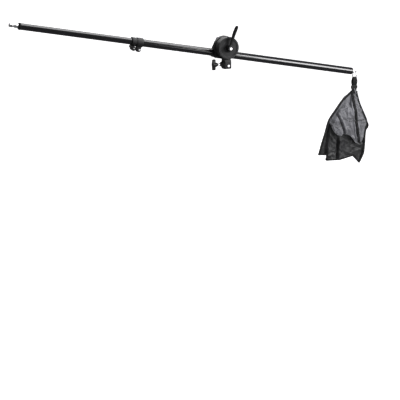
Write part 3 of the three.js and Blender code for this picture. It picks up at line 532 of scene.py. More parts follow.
def mottled(tree, factor, colour, dark, light):
    return blended(tree, factor, tinted(colour, dark), tinted(colour, light))


def painted_casting(colour):
    material, tree = material_for("painted_casting", "cast_black", Specular_IOR_Level=0.35)
    grain = link_noise(tree, 1500, 3, 0.6)
    ripple = raised(tree, link_noise(tree, 340, 2), 0.00012)
    return linked(
        material,
        Base_Color=mottled(tree, link_noise(tree, 60, 4), colour, 0.8, 1.5),
        Roughness=ranged(tree, grain, 0.4, 0.56),
        Normal=raised(tree, grain, 0.00005, ripple),
    )


def gloss_coat(colour):
    material, tree = material_for("gloss_tube_coat", "tube_black")
    along = (0, -settings().head.tilt, 0)
    streaks = link_noise(tree, 900, 3, 0.6, (0.02, 1, 1), along)
    return linked(
        material,
        Base_Color=mottled(tree, link_noise(tree, 40, 5, 0.65), colour, 0.7, 1.8),
        Roughness=ranged(tree, streaks, 0.1, 0.24, 0.35, 0.8),
        Normal=raised(tree, link_noise(tree, 500, 2), 0.00002),
    )


def moulded_plastic(colour):
    material, tree = material_for("moulded_plastic", "plastic_black", Specular_IOR_Level=0.35)
    grain = link_noise(tree, 1800, 2)
    return linked(
        material,
        Base_Color=mottled(tree, link_noise(tree, 90, 3), colour, 0.8, 1.3),
        Roughness=ranged(tree, grain, 0.36, 0.5),
        Normal=raised(tree, grain, 0.00004),
    )


def friction_pad(colour):
    material, tree = material_for("friction_pad", "pad_black")
    fibres = link_noise(tree, 1300, 5, 0.7, (1, 0.4, 1))
    flecks = ranged(tree, link_noise(tree, 2600, 2, 0.8), 0, 1, 0.5, 0.75)
    return linked(
        material,
        Base_Color=blended(tree, flecks, colour, (0.16, 0.13, 0.1)),
        Roughness=ranged(tree, fibres, 0.75, 0.95),
        Normal=raised(tree, fibres, 0.0002),
    )


def plated_steel(colour):
    material, tree = material_for("plated_steel", "chrome", Metallic=1.0)
    haze = link_noise(tree, 160, 4)
    return linked(
        material,
        Base_Color=mottled(tree, haze, colour, 0.86, 1.12),
        Roughness=ranged(tree, haze, 0.14, 0.26),
        Normal=raised(tree, link_noise(tree, 3000, 3, 0.6), 0.00001),
    )


def bearing_bronze(colour):
    material, tree = material_for("bearing_bronze", "bronze", Metallic=1.0)
    stain = link_noise(tree, 220, 4)
    turning = link_noise(tree, 2500, 2, stretch=(1, 0.1, 1))
    return linked(
        material,
        Base_Color=mottled(tree, stain, colour, 0.7, 1.15),
        Roughness=ranged(tree, stain, 0.28, 0.45),
        Normal=raised(tree, turning, 0.00002),
    )


def woven(tree, pitch):
    """A plain weave on the piece's own UV map, which is in metres along the cloth."""
    nodes, links = tree.nodes, tree.links
    uv = nodes.new("ShaderNodeUVMap")
    uv.uv_map = "cloth"
    bands = []
    for direction in ("X", "Y"):
        band = nodes.new("ShaderNodeTexWave")
        band.wave_type = "BANDS"
        band.bands_direction = direction
        band.inputs["Scale"].default_value = 1 / (pitch * 20)
        band.inputs["Distortion"].default_value = 0.4
        band.inputs["Detail"].default_value = 1.0
        links.new(uv.outputs["UV"], band.inputs["Vector"])
        bands.append(band.outputs["Fac"])
    check = nodes.new("ShaderNodeTexChecker")
    check.inputs["Scale"].default_value = 1 / pitch
    links.new(uv.outputs["UV"], check.inputs["Vector"])
    pick = nodes.new("ShaderNodeMix")
    links.new(check.outputs["Fac"], pick.inputs["Factor"])
    links.new(bands[0], pick.inputs[2])
    links.new(bands[1], pick.inputs[3])
    return pick.outputs[0]


def nylon_cloth(name, colour, pitch, sheen):
    material, tree = material_for(name, "nylon_cloth", Sheen_Weight=sheen, Sheen_Roughness=0.4)
    weave = woven(tree, pitch)
    wear = ranged(tree, link_noise(tree, 28, 5, 0.6), 0, 1)
    crumple = raised(tree, link_noise(tree, 90, 5, 0.55), 0.0012)
    return linked(
        material,
        Base_Color=mottled(tree, wear, colour, 0.75, 1.5),
        Roughness=ranged(tree, weave, 0.42, 0.6, 0, 1),
        Normal=raised(tree, weave, 0.00012, crumple),
    )


def ribbed_webbing(colour):
    material, tree = material_for(
        "ribbed_webbing", "webbing", Sheen_Weight=0.06, Sheen_Roughness=0.4, Specular_IOR_Level=0.25
    )
    weave = woven(tree, 0.0012)
    fuzz = link_noise(tree, 2200, 3, 0.7)
    return linked(
        material,
        Base_Color=mottled(tree, fuzz, colour, 0.7, 2.0),
        Roughness=ranged(tree, weave, 0.55, 0.75, 0, 1),
        Normal=raised(tree, weave, 0.00035, raised(tree, fuzz, 0.00005)),
    )


def sewing_thread(colour):
    material, tree = material_for("sewing_thread", "webbing")
    twist = link_noise(tree, 3200, 2)
    return linked(
        material,
        Base_Color=mottled(tree, twist, colour, 0.7, 1.5),
        Roughness=ranged(tree, twist, 0.4, 0.6),
        Normal=raised(tree, twist, 0.00006),
    )


FINISH = {}


def mix_finishes():
    colours, weave = settings().finishes, settings().bag.weave
    for key, mix, colour in (
        ("cast", painted_casting, colours.cast_black),
        ("tube", gloss_coat, colours.tube_black),
        ("plastic", moulded_plastic, colours.plastic_black),
        ("pad", friction_pad, colours.pad_black),
        ("chrome", plated_steel, colours.chrome),
        ("bronze", bearing_bronze, colours.bronze),
        ("webbing", ribbed_webbing, colours.webbing),
        ("thread", sewing_thread, tinted(colours.webbing, 1.8)),
    ):
        FINISH[key] = mix(tuple(colour))
    # The front pouch's nylon is the lit copy, its colour lightened as painted light; the rear
    # pouch's nylon is the shaded copy, darkened as painted shade.
    FINISH["nylon"] = nylon_cloth("nylon_front_painted_light", tuple(colours.nylon), weave, 0.3)
    FINISH["nylon_painted_shade"] = nylon_cloth("nylon_rear_painted_shade", tuple(colours.nylon_painted_shade), weave, 0.1)


def refinished(node, finish):
    """A CAD node that keeps its own shape gets a finish."""
    mesh = frame["nodes"][node].data
    mesh.materials.clear()
    mesh.materials.append(FINISH[finish])


# Clamp head


class BOOMARM_OT_socket(bpy.types.Operator):
    """Cast the socket that sits on the stand, with its bush and set screw"""

    bl_idname = "boomarm.socket"
    bl_label = "Socket"

    def execute(self, context):
        grid = settings().head.cast_grid
        bolt_line = Matrix.Translation(PIVOT) @ ALONG_Y
        block = prism(box_of(34, 32, 2), 0, 43, corner=6)
        softened(block, 1.6, 3, 60)
        for point, normal in (
            ((-15, 0, 30), (-13, 0, 1)),
            ((19, 0, 30), (13, 0, 5)),
            ((0, -16, 30), (0, -13, 4)),
            ((0, 13.8, 0), (0, 1, 0)),
        ):
            trimmed(block, point, normal)
        neck = prism(box_of(28, 24), 28, 86, corner=4)
        disc = rod(44, -12, 12, bolt_line, settings().boom.round_sides)
        softened(disc, 1.5)
        boss = turned([(0, 6), (15, 6), (15, 13), (8, 26), (0, 26)], KNOB_OUTWARD, sides=64)
        softened(boss, 0.8, 2)
        socket = turned([(0, -3), (12.2, -3), (8.2, 1), (8.2, 40), (0, 40)], sides=80)
        knob_hole = rod(4.3, -30, 0, KNOB_LINE)
        set_hole = rod(2.8, -22, 0, SET_SCREW_LINE)
        bush_hole = rod(8.3, -20, 20, bolt_line, 72)
        body = fused([block, neck, disc, boss], grid, 4, [socket, knob_hole, set_hole, bush_hole])
        finished(body, "socket_casting", "cast", ["receiver"])
        bush = ring(BOLT_HOLE, 8, -12, 12, bolt_line, 64)
        softened(bush, 0.4, 2)
        finished(bush, "bearing_bush", "bronze", ["pivot_bush"])
        screw = cap_screw(-20.5, 4.2, 4.8, 2.5, -8.5)
        screw.transform(SET_SCREW_LINE)
        finished(screw, "socket_set_screw", "chrome", ["stud_set_screw"])
        return {"FINISHED"}


def cap_screw(face, height, radius, shank, end, drive=2.4):
    """A knurled cap screw along local Z with a hexagon recess, its outer face at face."""
    head = rod(radius, face, face + height, sides=56)
    softened(head, min(0.5, height / 6), 2)
    for vert in head.verts:
        reach = math.hypot(vert.co.x, vert.co.y)
        if reach > radius * MM * 0.97:
            column = round(math.atan2(vert.co.y, vert.co.x) / (2 * math.pi / 56))
            if column % 2:
                vert.co.xy *= 0.965
    recess = prism(round_outline(drive, 6), face - 1, face + min(1.6, height * 0.6))
    head = cut(head, [recess])
    low, high = sorted((face + height * 0.6, end))
    return gathered([head, threaded(shank, low, high, shank * 0.32)])


class BOOMARM_OT_socket_knob(bpy.types.Operator):
    """Mould the wing knob that clamps the stand's stud, on its screw"""

    bl_idname = "boomarm.socket_knob"
    bl_label = "Socket knob"

    def execute(self, context):
        profile = [(0, 39), (6.6, 39), (7.8, 43), (9.6, 49), (9.6, 62), (0, 63)]
        hub = turned(profile, KNOB_OUTWARD, sides=72)
        softened(hub, 0.9, 3)
        wing = [
            (6.5, 0), (3.75, 18.75), (1.9, 22.5), (-1.9, 22.5), (-3.75, 18.75),
            (-6.5, 0), (-3.75, -18.75), (-1.9, -22.5), (1.9, -22.5), (3.75, -18.75),
        ]
        blade = prism(wing, -63, -49, KNOB_HEIGHT @ ACROSS)
        softened(blade, 1.8, 4, 20)
        hole = rod(4.3, -56, -33, KNOB_LINE)
        body = fused([hub, blade], 0.0005, 5, [hole])
        finished(body, "wing_knob", "plastic", ["socket_knob"])
        screw = threaded(4, -55, -8.5, 1.25, KNOB_LINE)
        finished(screw, "wing_knob_screw", "chrome", ["socket_knob_screw"])
        return {"FINISHED"}


class BOOMARM_OT_front_disc(bpy.types.Operator):
    """Turn the front clamping disc and the two friction pads"""

    bl_idname = "boomarm.front_disc"
    bl_label = "Front disc and pads"

    def execute(self, context):
        place = head_frame() @ ALONG_Y
        disc = turned(
            [
                (BOLT_HOLE, -14.1), (46, -14.1), (46, -26.7), (38, -26.7), (36.2, -24.9),
                (17.8, -24.9), (16, -26.7), (BOLT_HOLE, -26.7),
            ],
            place,
            True,
            160,
        )
        softened(disc, 0.9, 3)
        finished(disc, "front_clamping_disc", "cast", ["front_disc"])
        for node, low in (("front_pad", -13.8), ("rear_pad", 12.3)):
            pad = ring(8, 41, low, low + 1.5, place)
            softened(pad, 0.3, 2)
            finished(pad, "friction_" + node, "pad", [node])
        return {"FINISHED"}


class BOOMARM_OT_jaws(bpy.types.Operator):
    """Cast the two jaws that hold the tube in their grooves"""

    bl_idname = "boomarm.jaws"
    bl_label = "Jaws"

    def execute(self, context):
        grid = settings().head.cast_grid
        head = head_frame()
        bolt_line = head @ ALONG_Y
        disc = rod(46, 14.1, 31.1, bolt_line, settings().boom.round_sides)
        softened(disc, 1.5)
        block = prism(box_of(76, 41.5, 0, -29.25), -31.1, -14.1, head @ FACING, corner=5)
        softened(block, 1.5, 3, 50)
        groove = prism([(22.333, -30.5), (41, 1.83), (41, -62.83)], -60, 60, head @ ACROSS)
        bolt_hole = rod(BOLT_HOLE, 0, 80, bolt_line, 64)
        body = fused([disc, block], grid, 3, [groove, bolt_hole])
        finished(body, "middle_jaw_casting", "cast", ["middle_jaw"])
        plate = prism(
            [(-35, -50), (35, -50), (35, -15.5), (19.3, 34), (-19.3, 34), (-35, -15.5)],
            -63.9,
            -48.9,
            head @ FACING,
            corner=5,
        )
        softened(plate, 1.5, 3, 50)
        heel = prism(box_of(36, 14, 0, 27), -52, -31.4, head @ FACING, corner=1.5)
        groove = prism([(57.667, -30.5), (39, -62.83), (39, 1.83)], -60, 60, head @ ACROSS)
        bolt_hole = rod(BOLT_HOLE, 40, 80, bolt_line, 64)
        body = fused([plate, heel], grid, 3, [groove, bolt_hole])
        finished(body, "rear_jaw_casting", "cast", ["rear_jaw"])
        return {"FINISHED"}


class BOOMARM_OT_clamp_bolt(bpy.types.Operator):
    """Make the clamp bolt, its washer and the spring that opens the jaws"""

    bl_idname = "boomarm.clamp_bolt"
    bl_label = "Clamp bolt"

    def execute(self, context):
        place = head_frame() @ ALONG_Y
        head = hexagon(9.8, 66.5, 73.5)
        shank = threaded(5, -32.7, 69, 1.5)
        bolt = gathered([head, shank])
        bolt.transform(place)
        finished(bolt, "clamping_bolt", "chrome", ["clamp_bolt"])
        washer = ring(BOLT_HOLE, 11, 64.2, 66.2, place, 72)
        softened(washer, 0.4, 2)
        finished(washer, "plain_washer", "chrome", ["bolt_washer"])
        coil = wire(helix(7.6, 32.2, 47.8, 4, 36, 0.6), 0.8, place, 12, 0.2)
        finished(coil, "opening_spring", "chrome", ["jaw_spring"])
        return {"FINISHED"}


class BOOMARM_OT_lever(bpy.types.Operator):
    """Mould the clamping lever with its insert, screw and return spring"""

    bl_idname = "boomarm.lever"
    bl_label = "Clamping lever"

    def execute(self, context):
        head = head_frame()
        place = head @ ALONG_Y
        profile = [(0, -27.3), (14, -27.3), (14, -38), (12.4, -48.7), (0, -48.7)]
        hub = turned(profile, place, sides=96)
        softened(hub, 1.2, 3, 20)
        shares = [
            (0, 0.9, 0.8), (0.16, 0.86, 0.8), (0.3, 0.78, 0.74), (0.5, 0.92, 0.9),
            (0.72, 1, 1), (0.9, 0.98, 0.96), (0.965, 0.8, 0.78), (1, 0.4, 0.4),
        ]
        length, half_width, half_thickness, dip = 97, 7.2, 6, 22
        slant = math.radians(12.5) - settings().head.tilt
        sideways, upwards = math.sin(slant), math.cos(slant)
        rings = []
        for along, wide, thick in spread(shares, 48):
            reach = along * length
            middle = Vector((reach * sideways, -38 - along * along * dip, reach * upwards)) * MM
            across = Vector((upwards, 0, -sideways)) * wide * half_width
            outward = Vector((0, 1, 0)) * thick * half_thickness
            ahead = Vector((sideways, 0, upwards))
            rings.append(Matrix.Translation(middle) @ columns(across, outward, ahead))
        grip = drawn(rings, round_outline(MM, 36))
        grip.transform(head)
        cuts = [
            rod(8.3, -36, -20, place, 64),
            rod(2.8, -60, 0, place),
            rod(6.5, -60, -38.2, place, 64),
        ]
        body = fused([hub, grip], 0.0005, 5, cuts)
        finished(body, "lever_moulding", "plastic", ["lever_handle"])
        refinished("lever_insert", "bronze")
        screw = cap_screw(-48.1, 3, 5.4, 2.2, -33.6)
        screw.transform(place)
        finished(screw, "lever_cap_screw", "chrome", ["lever_screw"])
        coil = wire(helix(4.3, -44.2, -39.1, 3, 36, 0.5), 0.6, place, 12, 0.2)
        spring = finished(coil, "lever_return_spring", "chrome", ["lever_spring"])
        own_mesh(spring)
        return {"FINISHED"}


def columns(a, b, c):
    """A placement whose axes are the three vectors."""
    return Matrix(((a.x, b.x, c.x, 0), (a.y, b.y, c.y, 0), (a.z, b.z, c.z, 0), (0, 0, 0, 1)))


def spread(rows, count):
    """Rows of numbers, interpolated smoothly by their first number."""
    out = []
    for i in range(count + 1):
        t = rows[0][0] + (rows[-1][0] - rows[0][0]) * i / count
        k = max(j for j in range(len(rows) - 1) if rows[j][0] <= t or j == 0)
        a, b = rows[k], rows[k + 1]
        before, after = rows[max(k - 1, 0)], rows[min(k + 2, len(rows) - 1)]
        span = b[0] - a[0]
        s = (t - a[0]) / span
        values = []
        for p0, p1, p2, p3 in zip(before, a, b, after):
            m1 = (p2 - p0) * span / max(b[0] - before[0], 1e-9)
            m2 = (p3 - p1) * span / max(after[0] - a[0], 1e-9)
            h = (2 * s**3 - 3 * s**2 + 1) * p1 + (s**3 - 2 * s**2 + s) * m1
            values.append(h + (3 * s**2 - 2 * s**3) * p2 + (s**3 - s**2) * m2)
        out.append((t, *values[1:]))
    return out


# Boom


class BOOMARM_OT_tubes(bpy.types.Operator):
    """Draw the two tubes with rolled ends, and the plug hidden between them"""

    bl_idname = "boomarm.tubes"
    bl_label = "Tubes"

    def execute(self, context):
        place = tube_frame() @ ALONG_X
        boom = settings().boom
        outer, inner = boom.outer_radius / MM, boom.inner_radius / MM
        for node, radius, wall, low, high in (
            ("outer_tube", outer, 1.5, -384.5, 653),
            ("inner_tube", inner, 1.2, -872, 128),
        ):
            tube = ring(radius - wall, radius, low, high, place)
            softened(tube, 0.4, 2)
            finished(tube, "boom_" + node, "tube", [node])
        refinished("inner_guide", "plastic")
        return {"FINISHED"}


class BOOMARM_OT_collar(bpy.types.Operator):
    """Cast the collar between the tubes, with its screws, nuts and thumb lever"""

    bl_idname = "boomarm.collar"
    bl_label = "Collar"

    def execute(self, context):
        tube = tube_frame()
        line = tube @ ALONG_X
        at_sleeve = tube @ Matrix.Translation((-0.3718, 0, -0.029)) @ ALONG_Y
        at_ring = tube @ Matrix.Translation((-0.3988, 0, -0.026)) @ ALONG_Y
        sleeve = turned(
            [(0, -406.8), (17.6, -406.8), (17.6, -390.8), (16.4, -390.8), (16.4, -384.8),
             (18.8, -384.8), (18.8, -358.8), (0, -358.8)],
            line,
        )
        softened(sleeve, 1.0, 3)
        ears = []
        for x, radius, drop in ((-371.8, 9.8, 29), (-398.8, 8, 26)):
            foot = -drop - radius
            outline = box_of(2 * radius, -8 - foot, x, (foot - 8) / 2)
            ear = prism(outline, -7, 7, tube @ FACING)
            low = [
                edge for edge in ear.edges
                if all((tube.inverted() @ v.co).z < (foot + 0.1) * MM for v in edge.verts)
                and abs((edge.verts[0].co - edge.verts[1].co).y) > 0.01
            ]
            bevelled(ear, low, radius * 0.98 * MM, 10)
            softened(ear, 1.2, 3, 50)
            ears.append(ear)
        bores = [
            rod(13.25, -420, -380, line, 96),
            rod(15.3, -384.8, -340, line, 96),
            prism(box_of(65, 60, -382.5, -30), -1.2, 1.2, tube @ FACING),
            prism(box_of(3.6, 53.5, -387.8, -33.25), -50, 50, tube @ FACING),
            rod(2.9, -30, 30, at_sleeve),
            rod(2.9, -30, 30, at_ring),
        ]
        body = fused([sleeve] + ears, 0.0005, 3, bores)
        finished(body, "collar_casting", "cast", ["collar_body"])
        screw = cap_screw(-10.5, 3.2, 4.4, 2.6, 11.6, 2.0)
        screw.transform(at_sleeve)
        finished(screw, "sleeve_cap_screw", "chrome", ["sleeve_screw"])
        for node, place in (("sleeve_nut", at_sleeve), ("collar_nut", at_ring)):
            nut = cut(hexagon(4.9, 7.3, 11.3), [rod(2.9, 5, 14)])
            nut.transform(place)
            finished(nut, "plated_" + node, "chrome", [node])
        stud = threaded(2.6, -18.6, 11.6, 0.8, at_ring)
        finished(stud, "thumb_lever_screw", "chrome", ["collar_screw"])
        hub = turned([(0, -7.3), (9.4, -7.3), (9.4, -18.3), (0, -18.3)], at_ring, sides=72)
        softened(hub, 1.6, 4)
        blade = prism([(-22, -3.4), (0, -4.7), (0, 4.7), (-22, 3.4)], 10.6, 17.1)
        tip = [
            edge for edge in blade.edges
            if abs(edge.verts[0].co.z - edge.verts[1].co.z) > 1e-6 and edge.verts[0].co.x < -0.02
        ]
        bevelled(blade, tip, 3.3 * MM, 8)
        softened(blade, 1.2, 3, 50)
        swing = Matrix.Rotation(math.radians(23), 4, "Y")
        blade.transform(tube @ Matrix.Translation((-0.3988, 0, -0.026)) @ swing @ FACING)
        lever = fused([hub, blade], 0.0004, 4, [rod(2.9, -30, 0, at_ring)])
        finished(lever, "thumb_lever_moulding", "plastic", ["collar_lever"])
        return {"FINISHED"}


class BOOMARM_OT_ends(bpy.types.Operator):
    """Turn the front plug, the lamp stud and the rear cap, and bend the eye bolt"""

    bl_idname = "boomarm.ends"
    bl_label = "Plugs, stud and eye"

    def execute(self, context):
        line = tube_frame() @ ALONG_X
        plug = turned(
            [(4.3, -881.3), (9.6, -881.3), (14, -876.3), (14, -872.3), (11.5, -872.3),
             (11.5, -847), (4.3, -847)],
            line, True, 96,
        )
        softened(plug, 0.6, 3)
        finished(plug, "front_end_plug", "plastic", ["front_plug"])
        stud = turned(
            [(0, -911), (2.2, -912.5), (2.6, -915.6), (3.6, -916.6), (6.8, -916.6), (8, -915.4),
             (8, -904.6), (6.4, -903), (6.4, -896.2), (8, -894.6), (8, -881.6), (4, -881.6),
             (4, -859.6), (0, -859.6)],
            line, sides=96,
        )
        softened(stud, 0.35, 2)
        finished(stud, "lamp_stud", "chrome", ["front_stud"])
        cap = turned(
            [(3.3, 631), (13.2, 631), (13.2, 653.3), (15, 653.3), (15, 656.3), (3.3, 656.3)],
            line, True,
        )
        softened(cap, 0.9, 3)
        finished(cap, "rear_end_cap", "plastic", ["rear_cap"])
        bm = bmesh.new()
        loop = bmesh.ops.create_circle(
            bm, cap_ends=False, segments=20, radius=2.2 * MM,
            matrix=Matrix.Translation((7.2 * MM, 0, 0)) @ Matrix.Rotation(math.pi / 2, 4, "X"),
        )
        bmesh.ops.spin(
            bm, geom=loop["verts"] + bm.edges[:], cent=(0, 0, 0), axis=(0, 0, 1), dvec=(0, 0, 0),
            angle=2 * math.pi, steps=64, use_merge=True,
        )
        bmesh.ops.remove_doubles(bm, verts=bm.verts[:], dist=1e-7)
        bmesh.ops.recalc_face_normals(bm, faces=bm.faces[:])
        bm.transform(tube_frame() @ Matrix.Translation((0.6669, 0, 0)))
        profile = [
            (0, 652), (3, 652), (3, 656.6), (5.5, 656.6),
            (5.5, 658.6), (3, 658.6), (2.8, 660), (0, 660),
        ]
        neck = turned(profile, line, sides=64)
        eye = fused([bm, neck], 0.0003, 3)
        shank = threaded(3, 638.6, 655, 1.0, line)
        finished(gathered([eye, shank]), "eye_bolt_forging", "chrome", ["eye_bolt"])
        return {"FINISHED"}


# Hook and bag


def arc(radius, centre, start, sweep, count):
    angles = [start + sweep * i / count for i in range(count + 1)]
    return [(radius * math.cos(a), 0, centre + radius * math.sin(a)) for a in angles]


class BOOMARM_OT_hook(bpy.types.Operator):
    """Bend the spring hook and fit its gate on a pin"""

    bl_idname = "boomarm.hook"
    bl_label = "Spring hook"

    def execute(self, context):
        place = hanging_frame()
        lean = math.asin(4 / 18)
        low = Vector((10 * math.cos(lean), 0, -19.2 + 10 * math.sin(lean)))
        high = Vector((6 * math.cos(lean), 0, -1.2 + 6 * math.sin(lean)))
        catch = low.lerp(high, 0.797)
        hinge = low.lerp(high, 0.2)
        mirrored = [Vector((-end.x, 0, end.z)) for end in (low, high)]
        path = [tuple(catch)] + arc(6, -1.2, lean, math.pi - 2 * lean, 18)
        path += [tuple(mirrored[1].lerp(mirrored[0], s)) for s in (0.25, 0.5, 0.75)]
        path += arc(10, -19.2, math.pi - lean, math.pi + 2 * lean, 26)
        path += [tuple(hinge)]
        body = wire(path, 2, place, 20)
        softened(body, 0.45, 3, 60)
        at = place @ Matrix.Translation(hinge * MM)
        slots = [rod(2.9, 0.7, 5, at @ ALONG_Y), rod(2.9, -5, -0.7, at @ ALONG_Y)]
        body = cut(body, slots)
        tongue = rod(2.3, -0.7, 0.7, at @ ALONG_Y)
        finished(gathered([body, tongue]), "spring_hook", "chrome", ["hook_body"])
        top = low.lerp(high, 0.765)
        gate = wire([tuple(hinge.lerp(top, s)) for s in (0.05, 0.5, 1)], 1.7, place, 18)
        softened(gate, 0.4, 2, 60)
        gate = cut(gate, [rod(3.2, -1.0, 1.0, at @ ALONG_Y)])
        cheeks = [rod(2.6, 1.0, 2.6, at @ ALONG_Y), rod(2.6, -2.6, -1.0, at @ ALONG_Y)]
        for cheek in cheeks:
            softened(cheek, 0.3, 2)
        finished(gathered([gate] + cheeks), "hook_gate_bar", "chrome", ["hook_gate"])
        half = [(0, -2.9), (0.9, -2.7), (1.1, -2.55), (0.6, -2.5)]
        profile = half + [(r, -z) for r, z in reversed(half)]
        pin = turned(profile, at @ ALONG_Y, sides=24)
        finished(pin, "hook_rivet", "chrome", ["gate_pin"])
        return {"FINISHED"}


def ribbon(points, half_widths, thickness, width_axis, place=Matrix(), flat_on=None):
    """Flat webbing along points in millimetres, with a cloth map along and across it."""
    bm = bmesh.new()
    path = [Vector(point) * MM for point in points]
    placements = []
    length = 0.0
    lengths = []
    side = Vector(width_axis or (0, 0, 0))
    for i, point in enumerate(path):
        if i:
            length += (point - path[i - 1]).length
        lengths.append(length)
        ahead = (path[min(i + 1, len(path) - 1)] - path[max(i - 1, 0)]).normalized()
        if flat_on:
            side = ahead.cross(Vector(flat_on))
        across = (side - ahead * side.dot(ahead)).normalized()
        normal = ahead.cross(across)
        placements.append(Matrix.Translation(point) @ columns(across, normal, ahead))
    t = thickness / 2
    under = [(-1, -t * 0.5)] + [(x, -t) for x in (-0.97, -0.5, 0, 0.5, 0.97)] + [(1, -t * 0.5)]
    outline = under + [(-x, -y) for x, y in under]
    layer = bm.loops.layers.uv.new("cloth")
    rings = []
    for placement, wide in zip(placements, half_widths):
        spots = [placement @ Vector((x * wide * MM, y * MM, 0)) for x, y in outline]
        rings.append([bm.verts.new(spot) for spot in spots])
    count = len(outline)
    for k in range(len(rings) - 1):
        for i in range(count):
            j = (i + 1) % count
            face = bm.faces.new((rings[k][i], rings[k][j], rings[k + 1][j], rings[k + 1][i]))
            corners = ((k, i), (k, j), (k + 1, j), (k + 1, i))
            for loop, (r, c) in zip(face.loops, corners):
                loop[layer].uv = (lengths[r], outline[c][0] * half_widths[r] * MM)
    bm.faces.new(rings[0][::-1])
    bm.faces.new(rings[-1])
    bmesh.ops.recalc_face_normals(bm, faces=bm.faces[:])
    bm.transform(place)
    return bm


class BOOMARM_OT_strap(bpy.types.Operator):
    """Loop the webbing strap over the hook and thread the slider on it"""

    bl_idname = "boomarm.strap"
    bl_label = "Strap and slider"

    def execute(self, context):
        place = hanging_frame()
        front, wides = [], []
        for z, y, wide in (
            (-120, -0.85, 12), (-108, -0.85, 12), (-96, -0.9, 12), (-88, -0.95, 12),
            (-80, -0.9, 12), (-72, -0.9, 12), (-63, -1.2, 12), (-56, -3.2, 12), (-50, -5.0, 12),
            (-45, -6.0, 11.8), (-40, -6.3, 11.4), (-35, -5.8, 10.6), (-31, -5.1, 9.4),
        ):
            front.append((0.3 * math.sin(z * 0.21), y, z))
            wides.append(wide)
        over = [(0, 5.0 * math.sin(math.radians(a)), -29.2 + 5.0 * math.cos(math.radians(a)))
                for a in range(-80, 81, 16)]
        back = [(-x, -y, z) for x, y, z in reversed(front)]
        path = front + over + back
        strap = ribbon(path, wides + [8.6] * len(over) + wides[::-1], 1.55, (1, 0, 0), place)
        finished(strap, "webbing_strap", "webbing", ["strap"], sharp=60)
        outer = prism(box_of(30.6, 6.8), -76, -63, corner=1.5)
        softened(outer, 0.6, 2, 50)
        inner = prism(box_of(24.6, 3.8), -80, -60, corner=0.3)
        window = prism(box_of(20, 5.6, 0, -69.5), -10, 10, FACING, corner=1.2)
        slider = cut(outer, [inner, window])
        slider.transform(place)
        finished(slider, "strap_slider_frame", "plastic", ["strap_slider"])
        return {"FINISHED"}


# Bag: places in millimetres from the eye's rear bar, X towards the bag end and Z up

REAR_EDGES = (
    [(-14, -86), (-58.6, -121), (-89.3, -158), (-128, -209), (-145.5, -266), (-161, -313.5),
     (-175, -364)],
    [(14, -90), (32.5, -145), (72.5, -224), (73, -254), (68, -288), (67, -328), (63, -378),
     (41, -421)],
    [(-175, -364), (-128, -369), (-132, -394), (-63, -398), (6, -386), (41, -421)],
)
FRONT_EDGES = (
    [(-12, -88), (-52, -109), (-74, -137), (-98, -167), (-122, -200), (-125, -217)],
    [(12, -92), (30.5, -146), (69.5, -226), (69.5, -248), (61, -277), (56, -304), (48, -324)],
    [(-125, -217), (-114, -240), (-100.5, -263), (-85, -278), (-68, -285), (-57, -280), (-52, -271),
     (-45, -278), (-13, -291), (14, -323), (31, -328), (48, -324)],
)
LOBE_CREASE = [(-95, -172), (-75, -206), (-61, -236), (-50, -263), (-48, -272)]
NECK_WEDGE = [(-17, -92), (-19.5, -132)]
PUCKER = [(-84, -164), (-67, -158), (-50, -151)]
BAND_LINE = [(-11, -92), (-7.5, -120), (0, -168), (9.5, -219), (19.5, -269), (31, -326)]
REAR_STRIPE = [(-70, -284), (-73, -335), (-74, -394)]
FLAP_FOLD = [(-122, -214), (-124, -245), (-127.5, -290), (-131, -339), (-132, -368)]
PALE_FOLD = [(-120, -270), (-106, -290), (-96, -311)]
TIP_FOLD = [(58, -300), (50, -360), (40, -416)]
BAG_MIDDLE = Vector((-20, 0, -230))
BAG_DEPTH = 19  # how far the front pouch may stand out towards the viewer
CLOTH_MAP = (0.2, 0.33)  # size in metres that a sheet has on its cloth map
SLACK_FRAMES = 24


def beside(x, z, line):
    """Signed distance to a line, positive towards the bag end, and the share of its length."""
    best = None
    lengths = [math.dist(a, b) for a, b in zip(line, line[1:])]
    done = 0.0
    for (ax, az), (bx, bz), length in zip(line, line[1:], lengths):
        dx, dz = (bx - ax) / length, (bz - az) / length
        along = min(max((x - ax) * dx + (z - az) * dz, 0), length)
        gap = math.dist((x, z), (ax + dx * along, az + dz * along))
        side = 1 if (x - ax) * -dz + (z - az) * dx > 0 else -1
        if best is None or gap < abs(best[0]):
            best = (gap * side, (done + along) / sum(lengths))
        done += length
    return best


def hump(distance, place, width):
    return math.exp(-(((distance - place) / width) ** 2))


def rise(value, start, end):
    t = min(max((value - start) / (end - start), 0), 1)
    return t * t * (3 - 2 * t)


def crumple(x, z, seed):
    """Uneven cloth: broad sags, creases that run down from the neck, and small puckers."""
    spot = Vector((x / 46, z / 60, seed))
    broad = noise.noise(spot) * 3.2
    angle = math.atan2(x + 4, -z - 40)
    ridge = 1 - abs(noise.noise(Vector((angle * 7, z / 120, seed + 5)))) * 4
    fine = noise.noise(Vector((x / 13, z / 17, seed + 9))) * 0.8
    return broad + max(ridge, 0) * 1.5 + fine


def front_relief(x, z):
    """How far the front cloth stands towards the viewer beyond its even swell."""
    out = crumple(x, z, 1.7) * 1.15
    gap, share = beside(x, z, LOBE_CREASE)
    grip = rise(share, 0, 0.2)
    out += grip * (6.0 * hump(gap, 6, 5) - 12 * hump(gap, -2, 3.4) + 5.0 * hump(gap, -20, 11))
    gap, share = beside(x, z, PUCKER)
    out += hump(share, 0.5, 0.5) * (-6 * hump(gap, 0, 3) + 4 * hump(gap, -8, 5))
    gap, share = beside(x, z, BAND_LINE)
    out += 3.6 * (hump(gap, 11, 4.5) + hump(gap, -11, 4.5)) * rise(share, 0.02, 0.2)
    return out


def front_folds(x, z):
    """Depth of the folds pressed into the slack front cloth."""
    gap, share = beside(x, z, NECK_WEDGE)
    wedge = 14 * rise(share, 0, 0.5) * hump(gap, 0, 2.4 if gap > 0 else 4 + 11 * share)
    gap, share = beside(x, z, LOBE_CREASE)
    return wedge + 5 * rise(share, 0, 0.2) * hump(gap, -2, 3)


